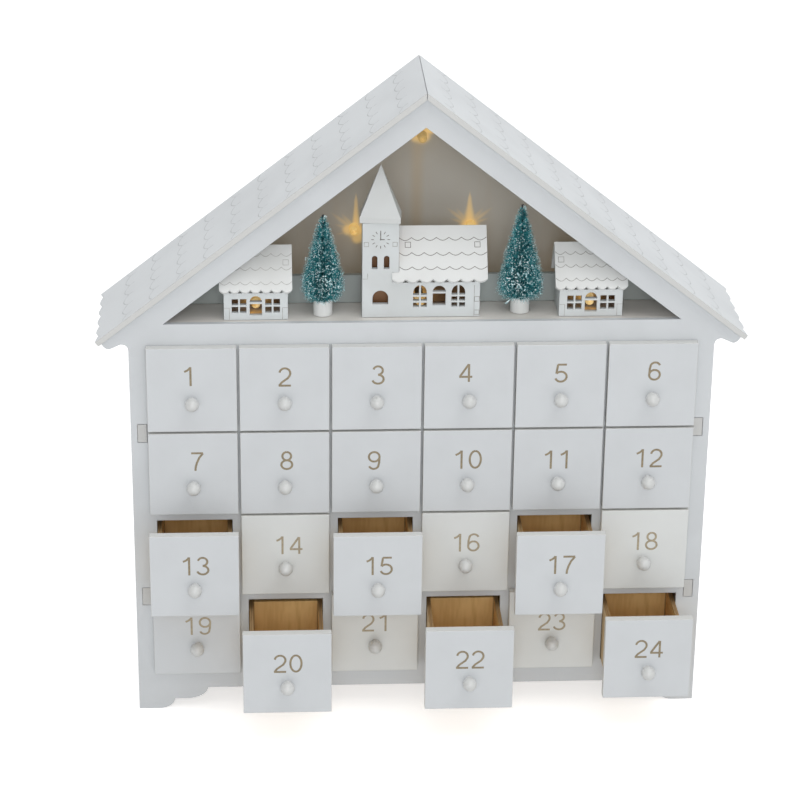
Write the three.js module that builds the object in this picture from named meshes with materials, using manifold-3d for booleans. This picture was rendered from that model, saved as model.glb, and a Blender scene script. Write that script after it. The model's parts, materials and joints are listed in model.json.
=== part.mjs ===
// Advent calendar: a white house of laser-cut board with 24 drawers on a grid,
// a lit village behind its gable opening and two roof panels with scalloped eaves.
// Millimetres, +Z up. The drawers face -Y and pull out that way.
// Heights are above the surface it stands on, depths are behind the front panel's front face.
import * as THREE from 'three';
import { mergeVertices } from 'three/addons/utils/BufferGeometryUtils.js';
import Module from 'manifold-3d';

const wasm = await Module();
wasm.setup();

// Clearance between glued, resting or plugged pieces
const fit = 0.3;

// How far a cutting solid reaches past the faces that it cuts, or a joined one into its neighbour
const overrun = 1;

// Case boards
const panelBoard = 3;
const sideBoard = 5;
const sideInset = 3.9;
const shelfBoard = 3;
const dividerBoard = 3;
const floorBoard = 3;
const caseDepth = 69;
const tenonHeight = 10.8;
const tenonDrop = 5.3;

// Drawer grid
const columns = 6;
const rows = 4;
const columnPitch = 51.2;
const rowPitch = 51.3;
const openingWidth = 42.7;
const openingHeight = 43.1;
const lowestSill = 27.7;

// Drawers
const frontWidth = 49.7;
const frontHeight = 50;
const frontBoard = 5;
const frontDrop = 2.2;
const trayHeight = 37;
const trayLength = 56;
const trayWall = 2.3;
const trayFloor = 2;
const traySlack = 0.4;
const knobRadius = 4;
const knobNeckRadius = 2;
const knobNeckLength = 1.4;
const knobBelowCentre = 6.7;
const pulledOut = { 13: 25, 15: 28, 17: 30, 20: 46, 22: 45, 24: 36 };

// Feet under the front and back panels
const footWidth = 11.9;
const footHeight = 13.4;
const footStepHeight = 6.3;
const footLowerCurve = 8.8;
const footStepLength = 7;
const footUpperCurve = 12.4;

// Gable and roof
const gableRail = 8.8;
const gableInset = 10.4;
const rakeWidth = 12.7;
const roofPitch = THREE.MathUtils.degToRad(38);
const roofBoard = 3;
const roofFrontOverhang = 3.9;
const eaveReach = 17.9;
const eaveScallops = 5;
const eaveScallopDepth = 2.2;
const wingCornerDrop = 17.1;
const wingNotchWidth = 4.2;
const wingNotchRise = 4;
const wingTipReach = 9.4;
const wingTipRise = 1.6;
const wingTipRadius = 2;
const wingReach = 15;

// Village
const villageBoard = 3;
const villagePitch = THREE.MathUtils.degToRad(54);
const railDepth = 29.5;
const railHeight = 16.6;
const villageScallops = 7;
const houseWidth = 35.2;
const houseRoofWidth = 40.1;
const houseRun = 16;
const houseEaveOverhang = 3;
const houseEaveHeight = 17.4;
const leftHouse = { x: -92.1, front: 5 };
const rightHouse = { x: 93.2, front: 5.7 };
const paneSize = 3.55;
const paneBar = 1;
const windowOffset = 9.2;
const windowSill = 4.4;
const houseDoorWidth = 6.8;
const houseDoorSill = 2.9;
const houseDoorHeight = 11.4;
const houseDoorTransom = 10.6;
const villageScallopDepth = 1.7;

// Church
const churchFront = 7;
const towerLeft = -33.5;
const towerWidth = 20;
const towerDepth = 10;
const towerHeight = 55.3;
const naveLength = 45;
const naveRun = 19;
const naveEaveOverhang = 3;
const naveEaveHeight = 22;
const naveRoofRight = 4.1;
const naveTabWidth = 3.7;
const naveTabLength = 6.3;
const towerDoorWidth = 8.7;
const towerDoorSill = 7.9;
const towerDoorHeight = 8.1;
const belfryWidth = 3.1;
const belfryHeight = 7.7;
const belfrySill = 28.7;
const belfryOffset = 3.3;
const naveWindowWidth = 7.6;
const naveWindowHeight = 12.9;
const naveWindowSill = 6.1;
const naveWindowOffset = 10.6;
const naveDoorWidth = 7.2;
const naveDoorHeight = 11.6;
const naveDoorSill = 7;
const naveMiddle = 9;
const spireOverhang = 1.2;
const spireSlab = 3;
const spireHeight = 28.9;
const spireTurn = THREE.MathUtils.degToRad(-5);

// Bottle-brush trees
const treeBaseRadius = 5.3;
const treeBaseHeight = 8.9;
const wireRadius = 0.9;
const wireSocketDepth = 5.5;
const leftTree = { x: -55, depth: 13.3, height: 58.6, radius: 12.5, widestHeight: 16 };
const rightTree = { x: 54.6, depth: 15, height: 63, radius: 13.6, widestHeight: 13 };
const bristleLevels = 40;
const bristleSides = 6;
const bristleTwist = THREE.MathUtils.degToRad(25);
const bristleSkirt = 0.62;
const bristleTaper = 0.85;
const bristleRise = 0.08;

// Lamps
const bulbRadius = 2.5;
const bulbLength = 8.6;
const bulbFlange = 0.4;
const bulbFlangeLength = 1;
const bulbDish = 1.8;
const bulbRim = 0.8;
const sleeveRadius = 2.2;
const sleeveBehind = 3;
const houseBulbReach = 20.2;
const houseBulbHeight = 7;
const churchBulb = { x: -1, setBack: 1.3 };
const starBulbReach = 9;
const starBulbs = { left_star_bulb: [-36, 31.6], right_star_bulb: [30.5, 33] };

// Battery holder at the back of the gable
const holderLeft = -31;
const holderWidth = 66;
const holderHeight = 25.5;
const holderDepth = 14.5;
const holderWall = 1.5;
const switchBay = 12;
const coverThickness = 1.8;
const cellRibThickness = 1.2;
const cellRibDepth = 4;
const gripWidth = 10;
const gripHeight = 1.2;
const gripProud = 0.8;
const gripInset = 2.2;
const lugRadius = 0.8;
const lugLength = 0.9;
const lugPlay = 0.25;
const switchKnob = 3.6;
const switchTravel = 3;
const switchHeight = 3.4;
const switchProud = 1;

// Places worked out from the sizes above
const gridHalf = columns * columnPitch / 2;
const sideOuter = gridHalf + sideBoard;
const caseHalf = sideOuter + sideInset;
const innerFront = panelBoard + fit;
const innerBack = caseDepth - panelBoard - fit;
const floorTop = lowestSill + rows * rowPitch + gableRail;
const gableHalfWidth = gridHalf - gableInset;
const gableApex = floorTop + gableHalfWidth * Math.tan(roofPitch);
const roofUnder = gableApex + (rakeWidth + fit) / Math.cos(roofPitch);
const panelTop = roofUnder - fit / Math.cos(roofPitch);
const roofMiddle = (caseDepth - roofFrontOverhang) / 2;
const roofDepth = caseDepth + roofFrontOverhang;
const roofLength = (caseHalf + eaveReach - roofBoard * Math.sin(roofPitch)) / Math.cos(roofPitch);
const villageBottom = floorTop + fit;
const railFront = railDepth - fit;
const towerMiddle = towerLeft + towerWidth / 2;
const towerRight = towerLeft + towerWidth;
const naveRight = towerRight + naveLength;
const holderBottom = floorTop + fit;
const holderBack = caseDepth - fit;

// Colours and finishes
const paint = { color: 0xd9dde0, roughness: 0.62, metalness: 0 };
const plywood = { color: 0xc39a63, roughness: 0.75, metalness: 0 };
const amber = { color: 0xf0a63a, roughness: 0.15, metalness: 0 };
const bristle = { color: 0x1f7d80, roughness: 0.6, metalness: 0 };
const plastic = { color: 0xe9e9e6, roughness: 0.45, metalness: 0 };

const calendar = new THREE.Group();

function addPiece(name, geometry, finish, parent = calendar) {
  const mesh = new THREE.Mesh(geometry, new THREE.MeshStandardMaterial(finish));
  mesh.name = name;
  parent.add(mesh);
  return mesh;
}

// A closed geometry with only its positions, each corner stored once
function welded(geometry) {
  const plain = geometry.clone();
  plain.deleteAttribute('normal');
  plain.deleteAttribute('uv');
  return mergeVertices(plain, 1e-4);
}

function solid(geometry) {
  const closed = welded(geometry);
  return new wasm.Manifold(new wasm.Mesh({
    numProp: 3,
    vertProperties: new Float32Array(closed.attributes.position.array),
    triVerts: new Uint32Array(closed.index.array),
  }));
}

function geometryOf(body) {
  const mesh = body.getMesh();
  const geometry = new THREE.BufferGeometry();
  geometry.setAttribute('position', new THREE.BufferAttribute(new Float32Array(mesh.vertProperties), 3));
  geometry.setIndex(new THREE.BufferAttribute(new Uint32Array(mesh.triVerts), 1));
  return geometry;
}

function fuse(geometries) {
  return geometries.map(solid).reduce((whole, piece) => whole.add(piece));
}

function cutFrom(geometry, cutters) {
  return geometryOf(cutters.map(solid).reduce((whole, cutter) => whole.subtract(cutter), solid(geometry)));
}

// Box between two corners
function block(x0, x1, y0, y1, z0, z1) {
  return new THREE.BoxGeometry(x1 - x0, y1 - y0, z1 - z0)
    .translate((x0 + x1) / 2, (y0 + y1) / 2, (z0 + z1) / 2);
}

// Board cut from an outline seen from the front (x, z), from depth y0 to y1
function frontBoardOf(outline, y0, y1, curveSegments = 8) {
  const slab = (path, start, end) => new THREE.ExtrudeGeometry(new THREE.Shape(path.getPoints(curveSegments)),
    { depth: end - start, bevelEnabled: false }).rotateX(Math.PI / 2).translate(0, end, 0);
  return cutFrom(slab(outline, y0, y1), outline.holes.map((hole) => slab(hole, y0 - overrun, y1 + overrun)));
}

// Board cut from an outline seen from the right (y, z), from x0 to x1
function sideBoardOf(outline, x0, x1) {
  return new THREE.ExtrudeGeometry(outline, { depth: x1 - x0, bevelEnabled: false })
    .rotateX(Math.PI / 2)
    .rotateZ(Math.PI / 2)
    .translate(x0, 0, 0);
}

function polygon(points) {
  return new THREE.Shape(points.map(([x, y]) => new THREE.Vector2(x, y)));
}

function rectangle(x0, x1, z0, z1) {
  return new THREE.Path([[x0, z0], [x0, z1], [x1, z1], [x1, z0]].map(([x, z]) => new THREE.Vector2(x, z)));
}

// Window or door with a round head, from its sill to its crown
function archedHole(x, width, sill, height) {
  const hole = new THREE.Path();
  const radius = width / 2;
  hole.moveTo(x - radius, sill);
  hole.lineTo(x - radius, sill + height - radius);
  hole.absarc(x, sill + height - radius, radius, Math.PI, 0, true);
  hole.lineTo(x + radius, sill);
  hole.closePath();
  return hole;
}

function roundHole(x, z, radius) {
  const hole = new THREE.Path();
  hole.absarc(x, z, radius, 0, 2 * Math.PI, true);
  return hole;
}

// Height of the roof panels' underside above a point off the middle
function roofUnderAt(x) {
  return roofUnder - Math.abs(x) * Math.tan(roofPitch);
}

function underRoofAt(x) {
  return panelTop - Math.abs(x) * Math.tan(roofPitch);
}

// Outline shared by the front and back panels: bracket feet, straight sides, eave wings, gable
function panelOutline() {
  const corner = roofUnderAt(caseHalf) - wingCornerDrop;
  const footEnd = caseHalf - footWidth;
  const stepStart = footEnd - footLowerCurve;
  const stepEnd = stepStart - footStepLength;
  const half = new THREE.Path();
  half.absellipse(stepEnd, footHeight, footUpperCurve, footHeight - footStepHeight, Math.PI, 1.5 * Math.PI, false, 0);
  half.absellipse(footEnd, footStepHeight, footLowerCurve, footStepHeight, Math.PI, 1.5 * Math.PI, false, 0);
  half.lineTo(caseHalf, 0);
  half.lineTo(caseHalf, corner);
  half.quadraticCurveTo(caseHalf, corner + wingNotchRise, caseHalf + wingNotchWidth, corner + wingNotchRise);
  half.lineTo(caseHalf + wingTipReach, corner + wingTipRise);
  half.quadraticCurveTo(caseHalf + wingTipReach + wingTipRadius, corner + wingTipRise - wingTipRadius / 2,
    caseHalf + wingTipReach + 2 * wingTipRadius, corner + wingTipRise + wingTipRadius / 2);
  half.lineTo(caseHalf + wingReach, underRoofAt(caseHalf + wingReach));
  const right = half.getPoints(6);
  const left = right.map((point) => new THREE.Vector2(-point.x, point.y)).reverse();
  return new THREE.Shape([...right, new THREE.Vector2(0, panelTop), ...left]);
}

function sillOf(row) {
  return lowestSill + row * rowPitch;
}

function columnX(column) {
  return (column - (columns - 1) / 2) * columnPitch;
}

// Heights of the middle of the side boards' tenons, one under and one over the middle rows
function tenonMiddles() {
  return [1, rows - 1].map((row) => sillOf(row) - tenonDrop);
}

// Slots of the front and back panels that take the side boards' tenons
function mortises() {
  const inner = gridHalf - fit;
  const outer = sideOuter + fit;
  return tenonMiddles().flatMap((middle) => [[inner, outer], [-outer, -inner]].map(([x0, x1]) => rectangle(
    x0, x1, middle - tenonHeight / 2 - fit, middle + tenonHeight / 2 + fit)));
}

// Front panel with a drawer opening in every cell and the gable cut out
function frontPanel() {
  const outline = panelOutline();
  for (let row = 0; row < rows; row += 1) {
    for (let column = 0; column < columns; column += 1) {
      const x = columnX(column);
      outline.holes.push(rectangle(x - openingWidth / 2, x + openingWidth / 2, sillOf(row), sillOf(row) + openingHeight));
    }
  }
  outline.holes.push(polygon([[-gableHalfWidth, floorTop], [0, gableApex], [gableHalfWidth, floorTop]]));
  outline.holes.push(...mortises());
  return frontBoardOf(outline, 0, panelBoard);
}

// Back panel with a window for the battery holder and holes for the star lamps
function backPanel() {
  const outline = panelOutline();
  outline.holes.push(rectangle(holderLeft - fit, holderLeft + holderWidth + fit,
    holderBottom - fit, holderBottom + holderHeight + fit));
  for (const [x, height] of Object.values(starBulbs)) {
    outline.holes.push(roundHole(x, floorTop + height, sleeveRadius + fit));
  }
  outline.holes.push(...mortises());
  return frontBoardOf(outline, caseDepth - panelBoard, caseDepth);
}

// Side board under the roof, with two tenons at each end that show on the panels
function caseSide(side) {
  const inner = side * gridHalf;
  const outer = side * sideOuter;
  const [left, right] = side > 0 ? [inner, outer] : [outer, inner];
  const board = frontBoardOf(polygon([[left, 0], [right, 0], [right, underRoofAt(right)], [left, underRoofAt(left)]]),
    innerFront, innerBack);
  const tenons = tenonMiddles().map((middle) => block(left, right, 0, caseDepth,
    middle - tenonHeight / 2, middle + tenonHeight / 2));
  return geometryOf(fuse([board, ...tenons]));
}

// Outline of a board with half-depth slots along its far edge
function comb(start, end, near, far, slots, slotWidth) {
  const outline = [[start, near], [end, near], [end, far]];
  const slotEnd = (near + far) / 2;
  for (const middle of [...slots].reverse()) {
    outline.push([middle + slotWidth / 2, far], [middle + slotWidth / 2, slotEnd]);
    outline.push([middle - slotWidth / 2, slotEnd], [middle - slotWidth / 2, far]);
  }
  outline.push([start, far]);
  return outline;
}

// Shelf under a row of drawers, slotted from the front over the dividers
function shelf(row) {
  const dividers = Array.from({ length: columns - 1 }, (_, index) => -gridHalf + (index + 1) * columnPitch);
  const outline = comb(-gridHalf + fit, gridHalf - fit, -innerBack, -innerFront, dividers, dividerBoard + 2 * fit)
    .map(([x, y]) => [x, -y]);
  return new THREE.ExtrudeGeometry(polygon(outline), { depth: shelfBoard, bevelEnabled: false })
    .translate(0, 0, sillOf(row) - shelfBoard);
}

// Divider between two columns of drawers, slotted from the back over the shelves
function divider() {
  const shelves = Array.from({ length: rows - 1 }, (_, index) => sillOf(index + 1) - shelfBoard / 2);
  const outline = comb(lowestSill + fit, floorTop - floorBoard - fit, innerFront, innerBack - fit / 2,
    shelves, shelfBoard + 2 * fit).map(([z, y]) => [y, z]);
  return sideBoardOf(polygon(outline), -dividerBoard / 2, dividerBoard / 2);
}

// Roof panel in its own plane: from the ridge out to scallops, half ones at the ends.
// Its ridge end is mitred upright, so that it meets the other panel face to face.
function roofPanel() {
  const outline = new THREE.Shape();
  const ridge = -roofBoard * Math.tan(roofPitch);
  const cusp = roofLength - eaveScallopDepth;
  const pitch = roofDepth / eaveScallops;
  outline.moveTo(ridge, -roofDepth / 2);
  outline.lineTo(roofLength, -roofDepth / 2);
  outline.quadraticCurveTo(roofLength, -roofDepth / 2 + pitch / 4, cusp, -roofDepth / 2 + pitch / 2);
  for (let index = 0; index < eaveScallops - 1; index += 1) {
    const start = -roofDepth / 2 + (index + 0.5) * pitch;
    outline.quadraticCurveTo(roofLength + eaveScallopDepth, start + pitch / 2, cusp, start + pitch);
  }
  outline.quadraticCurveTo(roofLength, roofDepth / 2 - pitch / 4, roofLength, roofDepth / 2);
  outline.lineTo(ridge, roofDepth / 2);
  const panel = new THREE.ExtrudeGeometry(outline, { depth: roofBoard, bevelEnabled: false, curveSegments: 6 })
    .rotateY(roofPitch);
  return cutFrom(panel, [block(ridge - overrun, fit / 2, -roofDepth / 2 - overrun, roofDepth / 2 + overrun,
    -roofBoard, 2 * roofBoard)]);
}

// Knob turned about the pull direction: a neck that runs into a ball
function knob(back) {
  const ball = new THREE.Vector2(0, knobNeckLength + Math.sqrt(knobRadius ** 2 - knobNeckRadius ** 2));
  const start = Math.asin(knobNeckRadius / knobRadius);
  const steps = 7;
  const profile = [new THREE.Vector2(0, -back), new THREE.Vector2(knobNeckRadius, -back)];
  for (let step = 0; step <= steps; step += 1) {
    const angle = start + (Math.PI - start) * step / steps;
    profile.push(new THREE.Vector2(step === steps ? 0 : knobRadius * Math.sin(angle), ball.y - knobRadius * Math.cos(angle)));
  }
  return new THREE.LatheGeometry(profile, 14).rotateX(Math.PI);
}

// Drawer: a plywood tray, the front glued over its open end, and the knob.
// Its own origin is under the tray's middle, level with the front panel's front face.
function drawer() {
  const trayHalf = openingWidth / 2 - traySlack;
  const frontBottom = -frontDrop - fit;
  const overlap = frontBoard / 2;
  const tray = cutFrom(
    block(-trayHalf, trayHalf, -fit - overlap, trayLength, 0, trayHeight),
    [block(-trayHalf + trayWall, trayHalf - trayWall, -fit, trayLength - trayWall, trayFloor, trayHeight + overrun)],
  );
  const front = block(-frontWidth / 2, frontWidth / 2, -fit - frontBoard, -fit, frontBottom, frontBottom + frontHeight);
  const knobHeight = frontBottom + frontHeight / 2 - knobBelowCentre;
  return geometryOf(fuse([tray, front, knob(overlap).translate(0, -fit - frontBoard, knobHeight)]));
}

// Sloping board of a village roof with a scalloped lower edge.
// Its outline lies in the board's plane: x along the eave, y up the slope from the eave.
function villageSlope(left, right, rise, eave, height, notch) {
  const pitch = (right - left) / villageScallops;
  const outline = new THREE.Shape();
  outline.moveTo(left, villageScallopDepth);
  for (let index = 0; index < villageScallops; index += 1) {
    const start = left + index * pitch;
    outline.quadraticCurveTo(start + pitch / 2, -villageScallopDepth, start + pitch, villageScallopDepth);
  }
  outline.lineTo(right, rise);
  outline.lineTo(left + notch.width, rise);
  if (notch.width > 0) {
    outline.lineTo(left + notch.width, notch.length);
    outline.lineTo(left, notch.length);
  }
  return new THREE.ExtrudeGeometry(outline, { depth: villageBoard, bevelEnabled: false, curveSegments: 5 })
    .translate(0, 0, -villageBoard)
    .rotateX(villagePitch)
    .translate(0, eave, height);
}

// Both slopes of a village roof as one piece, its short back slope ending at the wiring rail
function villageRoof(left, right, eave, run, height, notch = { width: 0, length: 0 }) {
  const rise = run / Math.cos(villagePitch);
  const ridgeHeight = height + run * Math.tan(villagePitch);
  const front = villageSlope(left, right, rise, eave, height, notch);
  const drop = villageBoard / Math.cos(villagePitch);
  const ridge = eave + run;
  const fall = (railFront - ridge) * Math.tan(villagePitch);
  const back = sideBoardOf(polygon([
    [ridge, ridgeHeight - drop],
    [railFront, ridgeHeight - fall - drop],
    [railFront, ridgeHeight - fall],
    [ridge, ridgeHeight],
    [ridge - villageBoard / 3, ridgeHeight - villageBoard / 3 * Math.tan(villagePitch)],
  ]), left + notch.width, right);
  return geometryOf(fuse([front, back]));
}

// Profile of a village side wall under both slopes of its roof
function villageSide(front, eave, run, height) {
  const drop = (villageBoard + fit) / Math.cos(villagePitch);
  const ridge = eave + run;
  const under = (y) => height + (run - Math.abs(y - ridge)) * Math.tan(villagePitch) - drop;
  return polygon([[front, villageBottom], [railFront, villageBottom], [railFront, under(railFront)],
    [ridge, under(ridge)], [front, under(front)]]);
}

function underEave(front, eave, height) {
  return height + (front - eave) * Math.tan(villagePitch) - (villageBoard + fit) / Math.cos(villagePitch);
}

// Walls of a village house: front with a door and two windows, and two side walls
function houseWalls({ x, front }) {
  const eave = front - houseEaveOverhang;
  const eaveHeight = floorTop + houseEaveHeight;
  const left = x - houseWidth / 2;
  const right = x + houseWidth / 2;
  const face = polygon([[left, villageBottom], [right, villageBottom],
    [right, underEave(front, eave, eaveHeight)], [left, underEave(front, eave, eaveHeight)]]);
  for (const side of [-1, 1]) {
    for (const column of [-1, 1]) {
      for (const row of [0, 1]) {
        const paneX = x + side * windowOffset + column * (paneSize + paneBar) / 2;
        const paneZ = floorTop + windowSill + row * (paneSize + paneBar);
        face.holes.push(rectangle(paneX - paneSize / 2, paneX + paneSize / 2, paneZ, paneZ + paneSize));
      }
    }
  }
  face.holes.push(rectangle(x - houseDoorWidth / 2, x + houseDoorWidth / 2,
    floorTop + houseDoorSill, floorTop + houseDoorTransom - paneBar));
  const lunette = new THREE.Path();
  lunette.absellipse(x, floorTop + houseDoorTransom, houseDoorWidth / 2,
    houseDoorSill + houseDoorHeight - houseDoorTransom, 0, Math.PI, false, 0);
  lunette.closePath();
  face.holes.push(lunette);
  const sides = [left, right - villageBoard].map((wall) => sideBoardOf(
    villageSide(front, eave, houseRun, eaveHeight), wall, wall + villageBoard));
  return geometryOf(fuse([frontBoardOf(face, front, front + villageBoard, 6), ...sides]));
}

function houseRoof({ x, front }) {
  return villageRoof(x - houseRoofWidth / 2, x + houseRoofWidth / 2,
    front - houseEaveOverhang, houseRun, floorTop + houseEaveHeight);
}

// Arched nave window of two lights with three panes each
function naveWindow(face, x) {
  const sill = floorTop + naveWindowSill;
  const light = (naveWindowWidth - paneBar) / 2;
  const paneRow = (naveWindowHeight - light - 2 * paneBar) / 3;
  for (const side of [-1, 1]) {
    const middle = x + side * (light + paneBar) / 2;
    for (const row of [0, 1]) {
      const bottom = sill + row * (paneRow + paneBar);
      face.holes.push(rectangle(middle - light / 2, middle + light / 2, bottom, bottom + paneRow));
    }
    const head = new THREE.Path();
    const start = sill + 2 * (paneRow + paneBar);
    const inner = middle - side * light / 2;
    const outer = middle + side * light / 2;
    head.moveTo(inner, start);
    head.lineTo(inner, sill + naveWindowHeight);
    head.quadraticCurveTo(outer, sill + naveWindowHeight - paneBar, outer, start + paneBar);
    head.lineTo(outer, start);
    face.holes.push(head);
  }
}

// Outline of the church's front board, tower and nave in one, with its doors and windows
function churchFace(naveTop, towerTop) {
  const face = polygon([[towerLeft, villageBottom], [naveRight, villageBottom], [naveRight, naveTop],
    [towerRight, naveTop], [towerRight, towerTop], [towerLeft, towerTop]]);
  face.holes.push(archedHole(towerMiddle, towerDoorWidth, floorTop + towerDoorSill, towerDoorHeight));
  for (const side of [-1, 1]) {
    face.holes.push(archedHole(towerMiddle + side * belfryOffset, belfryWidth, floorTop + belfrySill, belfryHeight));
    naveWindow(face, naveMiddle + side * naveWindowOffset);
  }
  face.holes.push(rectangle(naveMiddle - naveDoorWidth / 2, naveMiddle + naveDoorWidth / 2,
    floorTop + naveDoorSill, floorTop + naveDoorSill + naveDoorHeight - naveDoorWidth / 2 - paneBar));
  const lunette = new THREE.Path();
  lunette.absarc(naveMiddle, floorTop + naveDoorSill + naveDoorHeight - naveDoorWidth / 2, naveDoorWidth / 2, 0, Math.PI);
  lunette.closePath();
  face.holes.push(lunette);
  return face;
}

// Church walls: the front board, the tower's other three walls, the nave's two ends
function churchWalls() {
  const eave = churchFront - naveEaveOverhang;
  const eaveHeight = floorTop + naveEaveHeight;
  const towerTop = floorTop + towerHeight;
  const towerBack = churchFront + towerDepth;
  const face = churchFace(underEave(churchFront, eave, eaveHeight), towerTop);
  const walls = [
    frontBoardOf(face, churchFront, churchFront + villageBoard, 6),
    block(towerLeft, towerLeft + villageBoard, churchFront + overrun, towerBack, villageBottom, towerTop),
    block(towerRight - villageBoard, towerRight, churchFront + overrun, towerBack, villageBottom, towerTop),
    block(towerLeft, towerRight, towerBack - villageBoard, towerBack, villageBottom, towerTop),
    ...[towerRight, naveRight].map((right) => sideBoardOf(
      villageSide(churchFront, eave, naveRun, eaveHeight), right - villageBoard, right)),
  ];
  const slotOverrun = 2 * villageBoard;
  const tabSlot = new THREE.BoxGeometry(naveTabWidth + 2 * fit, naveTabLength + slotOverrun, villageBoard + 2 * fit)
    .translate(towerRight - naveTabWidth / 2 + fit, (naveTabLength - slotOverrun) / 2 + fit, -villageBoard / 2)
    .rotateX(villagePitch)
    .translate(0, eave, eaveHeight);
  return geometryOf(fuse(walls).subtract(solid(tabSlot)));
}

// Nave roof, notched round the tower, with a tab of its eave lapping the tower's front
function churchRoof() {
  return villageRoof(towerRight - naveTabWidth, naveRight + naveRoofRight, churchFront - naveEaveOverhang,
    naveRun, floorTop + naveEaveHeight, { width: naveTabWidth + fit, length: naveTabLength });
}

// Spire: a slab that runs up into a four-sided point, glued on a little askew
function churchSpire() {
  const corner = Math.SQRT1_2;
  const profile = [[0, 0], [corner, 0], [corner, spireSlab], [0, spireSlab + spireHeight]];
  return new THREE.LatheGeometry(profile.map(([r, z]) => new THREE.Vector2(r, z)), 4)
    .rotateX(Math.PI / 2)
    .rotateZ(Math.PI / 4)
    .scale(towerWidth + 2 * spireOverhang, towerDepth + 2 * spireOverhang, 1)
    .rotateZ(spireTurn);
}

// Turned wooden base with a blind hole for the tree's wire
function treeBase() {
  const chamfer = 0.4;
  const profile = [[0, 0], [treeBaseRadius, 0], [treeBaseRadius, treeBaseHeight - chamfer],
    [treeBaseRadius - chamfer, treeBaseHeight], [wireRadius + fit, treeBaseHeight],
    [wireRadius + fit, treeBaseHeight - wireSocketDepth], [0, treeBaseHeight - wireSocketDepth]];
  return new THREE.LatheGeometry(profile.map(([r, z]) => new THREE.Vector2(r, z)), 24).rotateX(Math.PI / 2);
}

// Bottle-brush: a twisted wire whose faces rise into four-sided bristles that end on the tree's cone.
// Heights are above the village floor.
function brush({ height, radius, widestHeight }) {
  const bottom = treeBaseHeight - wireSocketDepth + fit;
  const firstBristle = treeBaseHeight + fit;
  const step = (height - firstBristle) / bristleLevels;
  const ringHeights = [bottom];
  for (let level = 0; level <= bristleLevels; level += 1) {
    ringHeights.push(firstBristle + level * step);
  }
  const reachAt = (z) => (z < widestHeight
    ? radius * (bristleSkirt + (1 - bristleSkirt) * Math.sin(Math.PI / 2 * (z - firstBristle) / (widestHeight - firstBristle)))
    : radius * Math.pow((height - z) / (height - widestHeight), bristleTaper) + wireRadius);
  const positions = [];
  const faces = [];
  const corner = (ring, side) => ring * bristleSides + side % bristleSides;
  ringHeights.forEach((z, ring) => {
    for (let side = 0; side < bristleSides; side += 1) {
      const angle = side * 2 * Math.PI / bristleSides + ring * bristleTwist;
      positions.push(wireRadius * Math.cos(angle), wireRadius * Math.sin(angle), z);
    }
  });
  for (let ring = 0; ring < ringHeights.length - 1; ring += 1) {
    for (let side = 0; side < bristleSides; side += 1) {
      const quad = [corner(ring, side), corner(ring, side + 1), corner(ring + 1, side + 1), corner(ring + 1, side)];
      if (ring === 0) {
        faces.push(quad[0], quad[1], quad[2], quad[0], quad[2], quad[3]);
        continue;
      }
      const z = (ringHeights[ring] + ringHeights[ring + 1]) / 2;
      const angle = (side + 0.5) * 2 * Math.PI / bristleSides + (ring + 0.5) * bristleTwist;
      const tip = positions.length / 3;
      positions.push(reachAt(z) * Math.cos(angle), reachAt(z) * Math.sin(angle), z + bristleRise * reachAt(z));
      quad.forEach((start, index) => faces.push(start, quad[(index + 1) % quad.length], tip));
    }
  }
  const top = ringHeights.length - 1;
  for (let side = 1; side < bristleSides - 1; side += 1) {
    faces.push(corner(0, 0), corner(0, side + 1), corner(0, side));
    faces.push(corner(top, 0), corner(top, side), corner(top, side + 1));
  }
  const geometry = new THREE.BufferGeometry();
  geometry.setAttribute('position', new THREE.BufferAttribute(new Float32Array(positions), 3));
  geometry.setIndex(faces);
  return geometry;
}

// Lamp with a dished lens and a sleeve over its leads, pointing along -Y from the sleeve's end
function lamp(sleeveLength) {
  const flangeRadius = bulbRadius + bulbFlange;
  const tip = sleeveLength + bulbLength;
  const shoulder = sleeveLength + bulbFlangeLength;
  const profile = [[0, 0], [sleeveRadius, 0], [sleeveRadius, sleeveLength], [flangeRadius, sleeveLength],
    [flangeRadius, shoulder], [bulbRadius, shoulder], [bulbRadius, tip - bulbRim],
    [bulbRadius - bulbRim, tip], [0, tip - bulbDish]];
  return new THREE.LatheGeometry(profile.map(([r, t]) => new THREE.Vector2(r, t)), 16).rotateX(Math.PI);
}

// Strip on edge behind the village that hides the wiring, with a hole for each house's lamp
function wiringRail(lampXs) {
  const end = gridHalf - fit;
  const top = floorTop + railHeight;
  const topEnd = (panelTop - top) / Math.tan(roofPitch);
  const outline = polygon([[-end, villageBottom], [end, villageBottom], [end, underRoofAt(end)],
    [topEnd, top], [-topEnd, top], [-end, underRoofAt(end)]]);
  for (const x of lampXs) {
    outline.holes.push(roundHole(x, floorTop + houseBulbHeight, sleeveRadius + fit));
  }
  return frontBoardOf(outline, railDepth, railDepth + panelBoard);
}

// Battery holder: an open bay for two cells and, beside it, a block with the switch's slot
const bayLeft = holderLeft + holderWall;
const bayRight = holderLeft + holderWidth - switchBay;
const bayBottom = holderBottom + holderWall;
const bayTop = holderBottom + holderHeight - holderWall;
const coverBack = holderBack;
const coverFront = holderBack - coverThickness;
const hingeY = holderBack - coverThickness / 2;
const hingeZ = bayBottom + fit + coverThickness / 2;
const switchMiddle = [bayRight + switchBay / 2, holderBottom + holderHeight / 2];
const slotLength = switchKnob + switchTravel + 2 * fit;

function pinAlongX(radius, x0, x1, y, z) {
  return new THREE.CylinderGeometry(radius, radius, x1 - x0, 16)
    .rotateZ(Math.PI / 2)
    .translate((x0 + x1) / 2, y, z);
}

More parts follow.
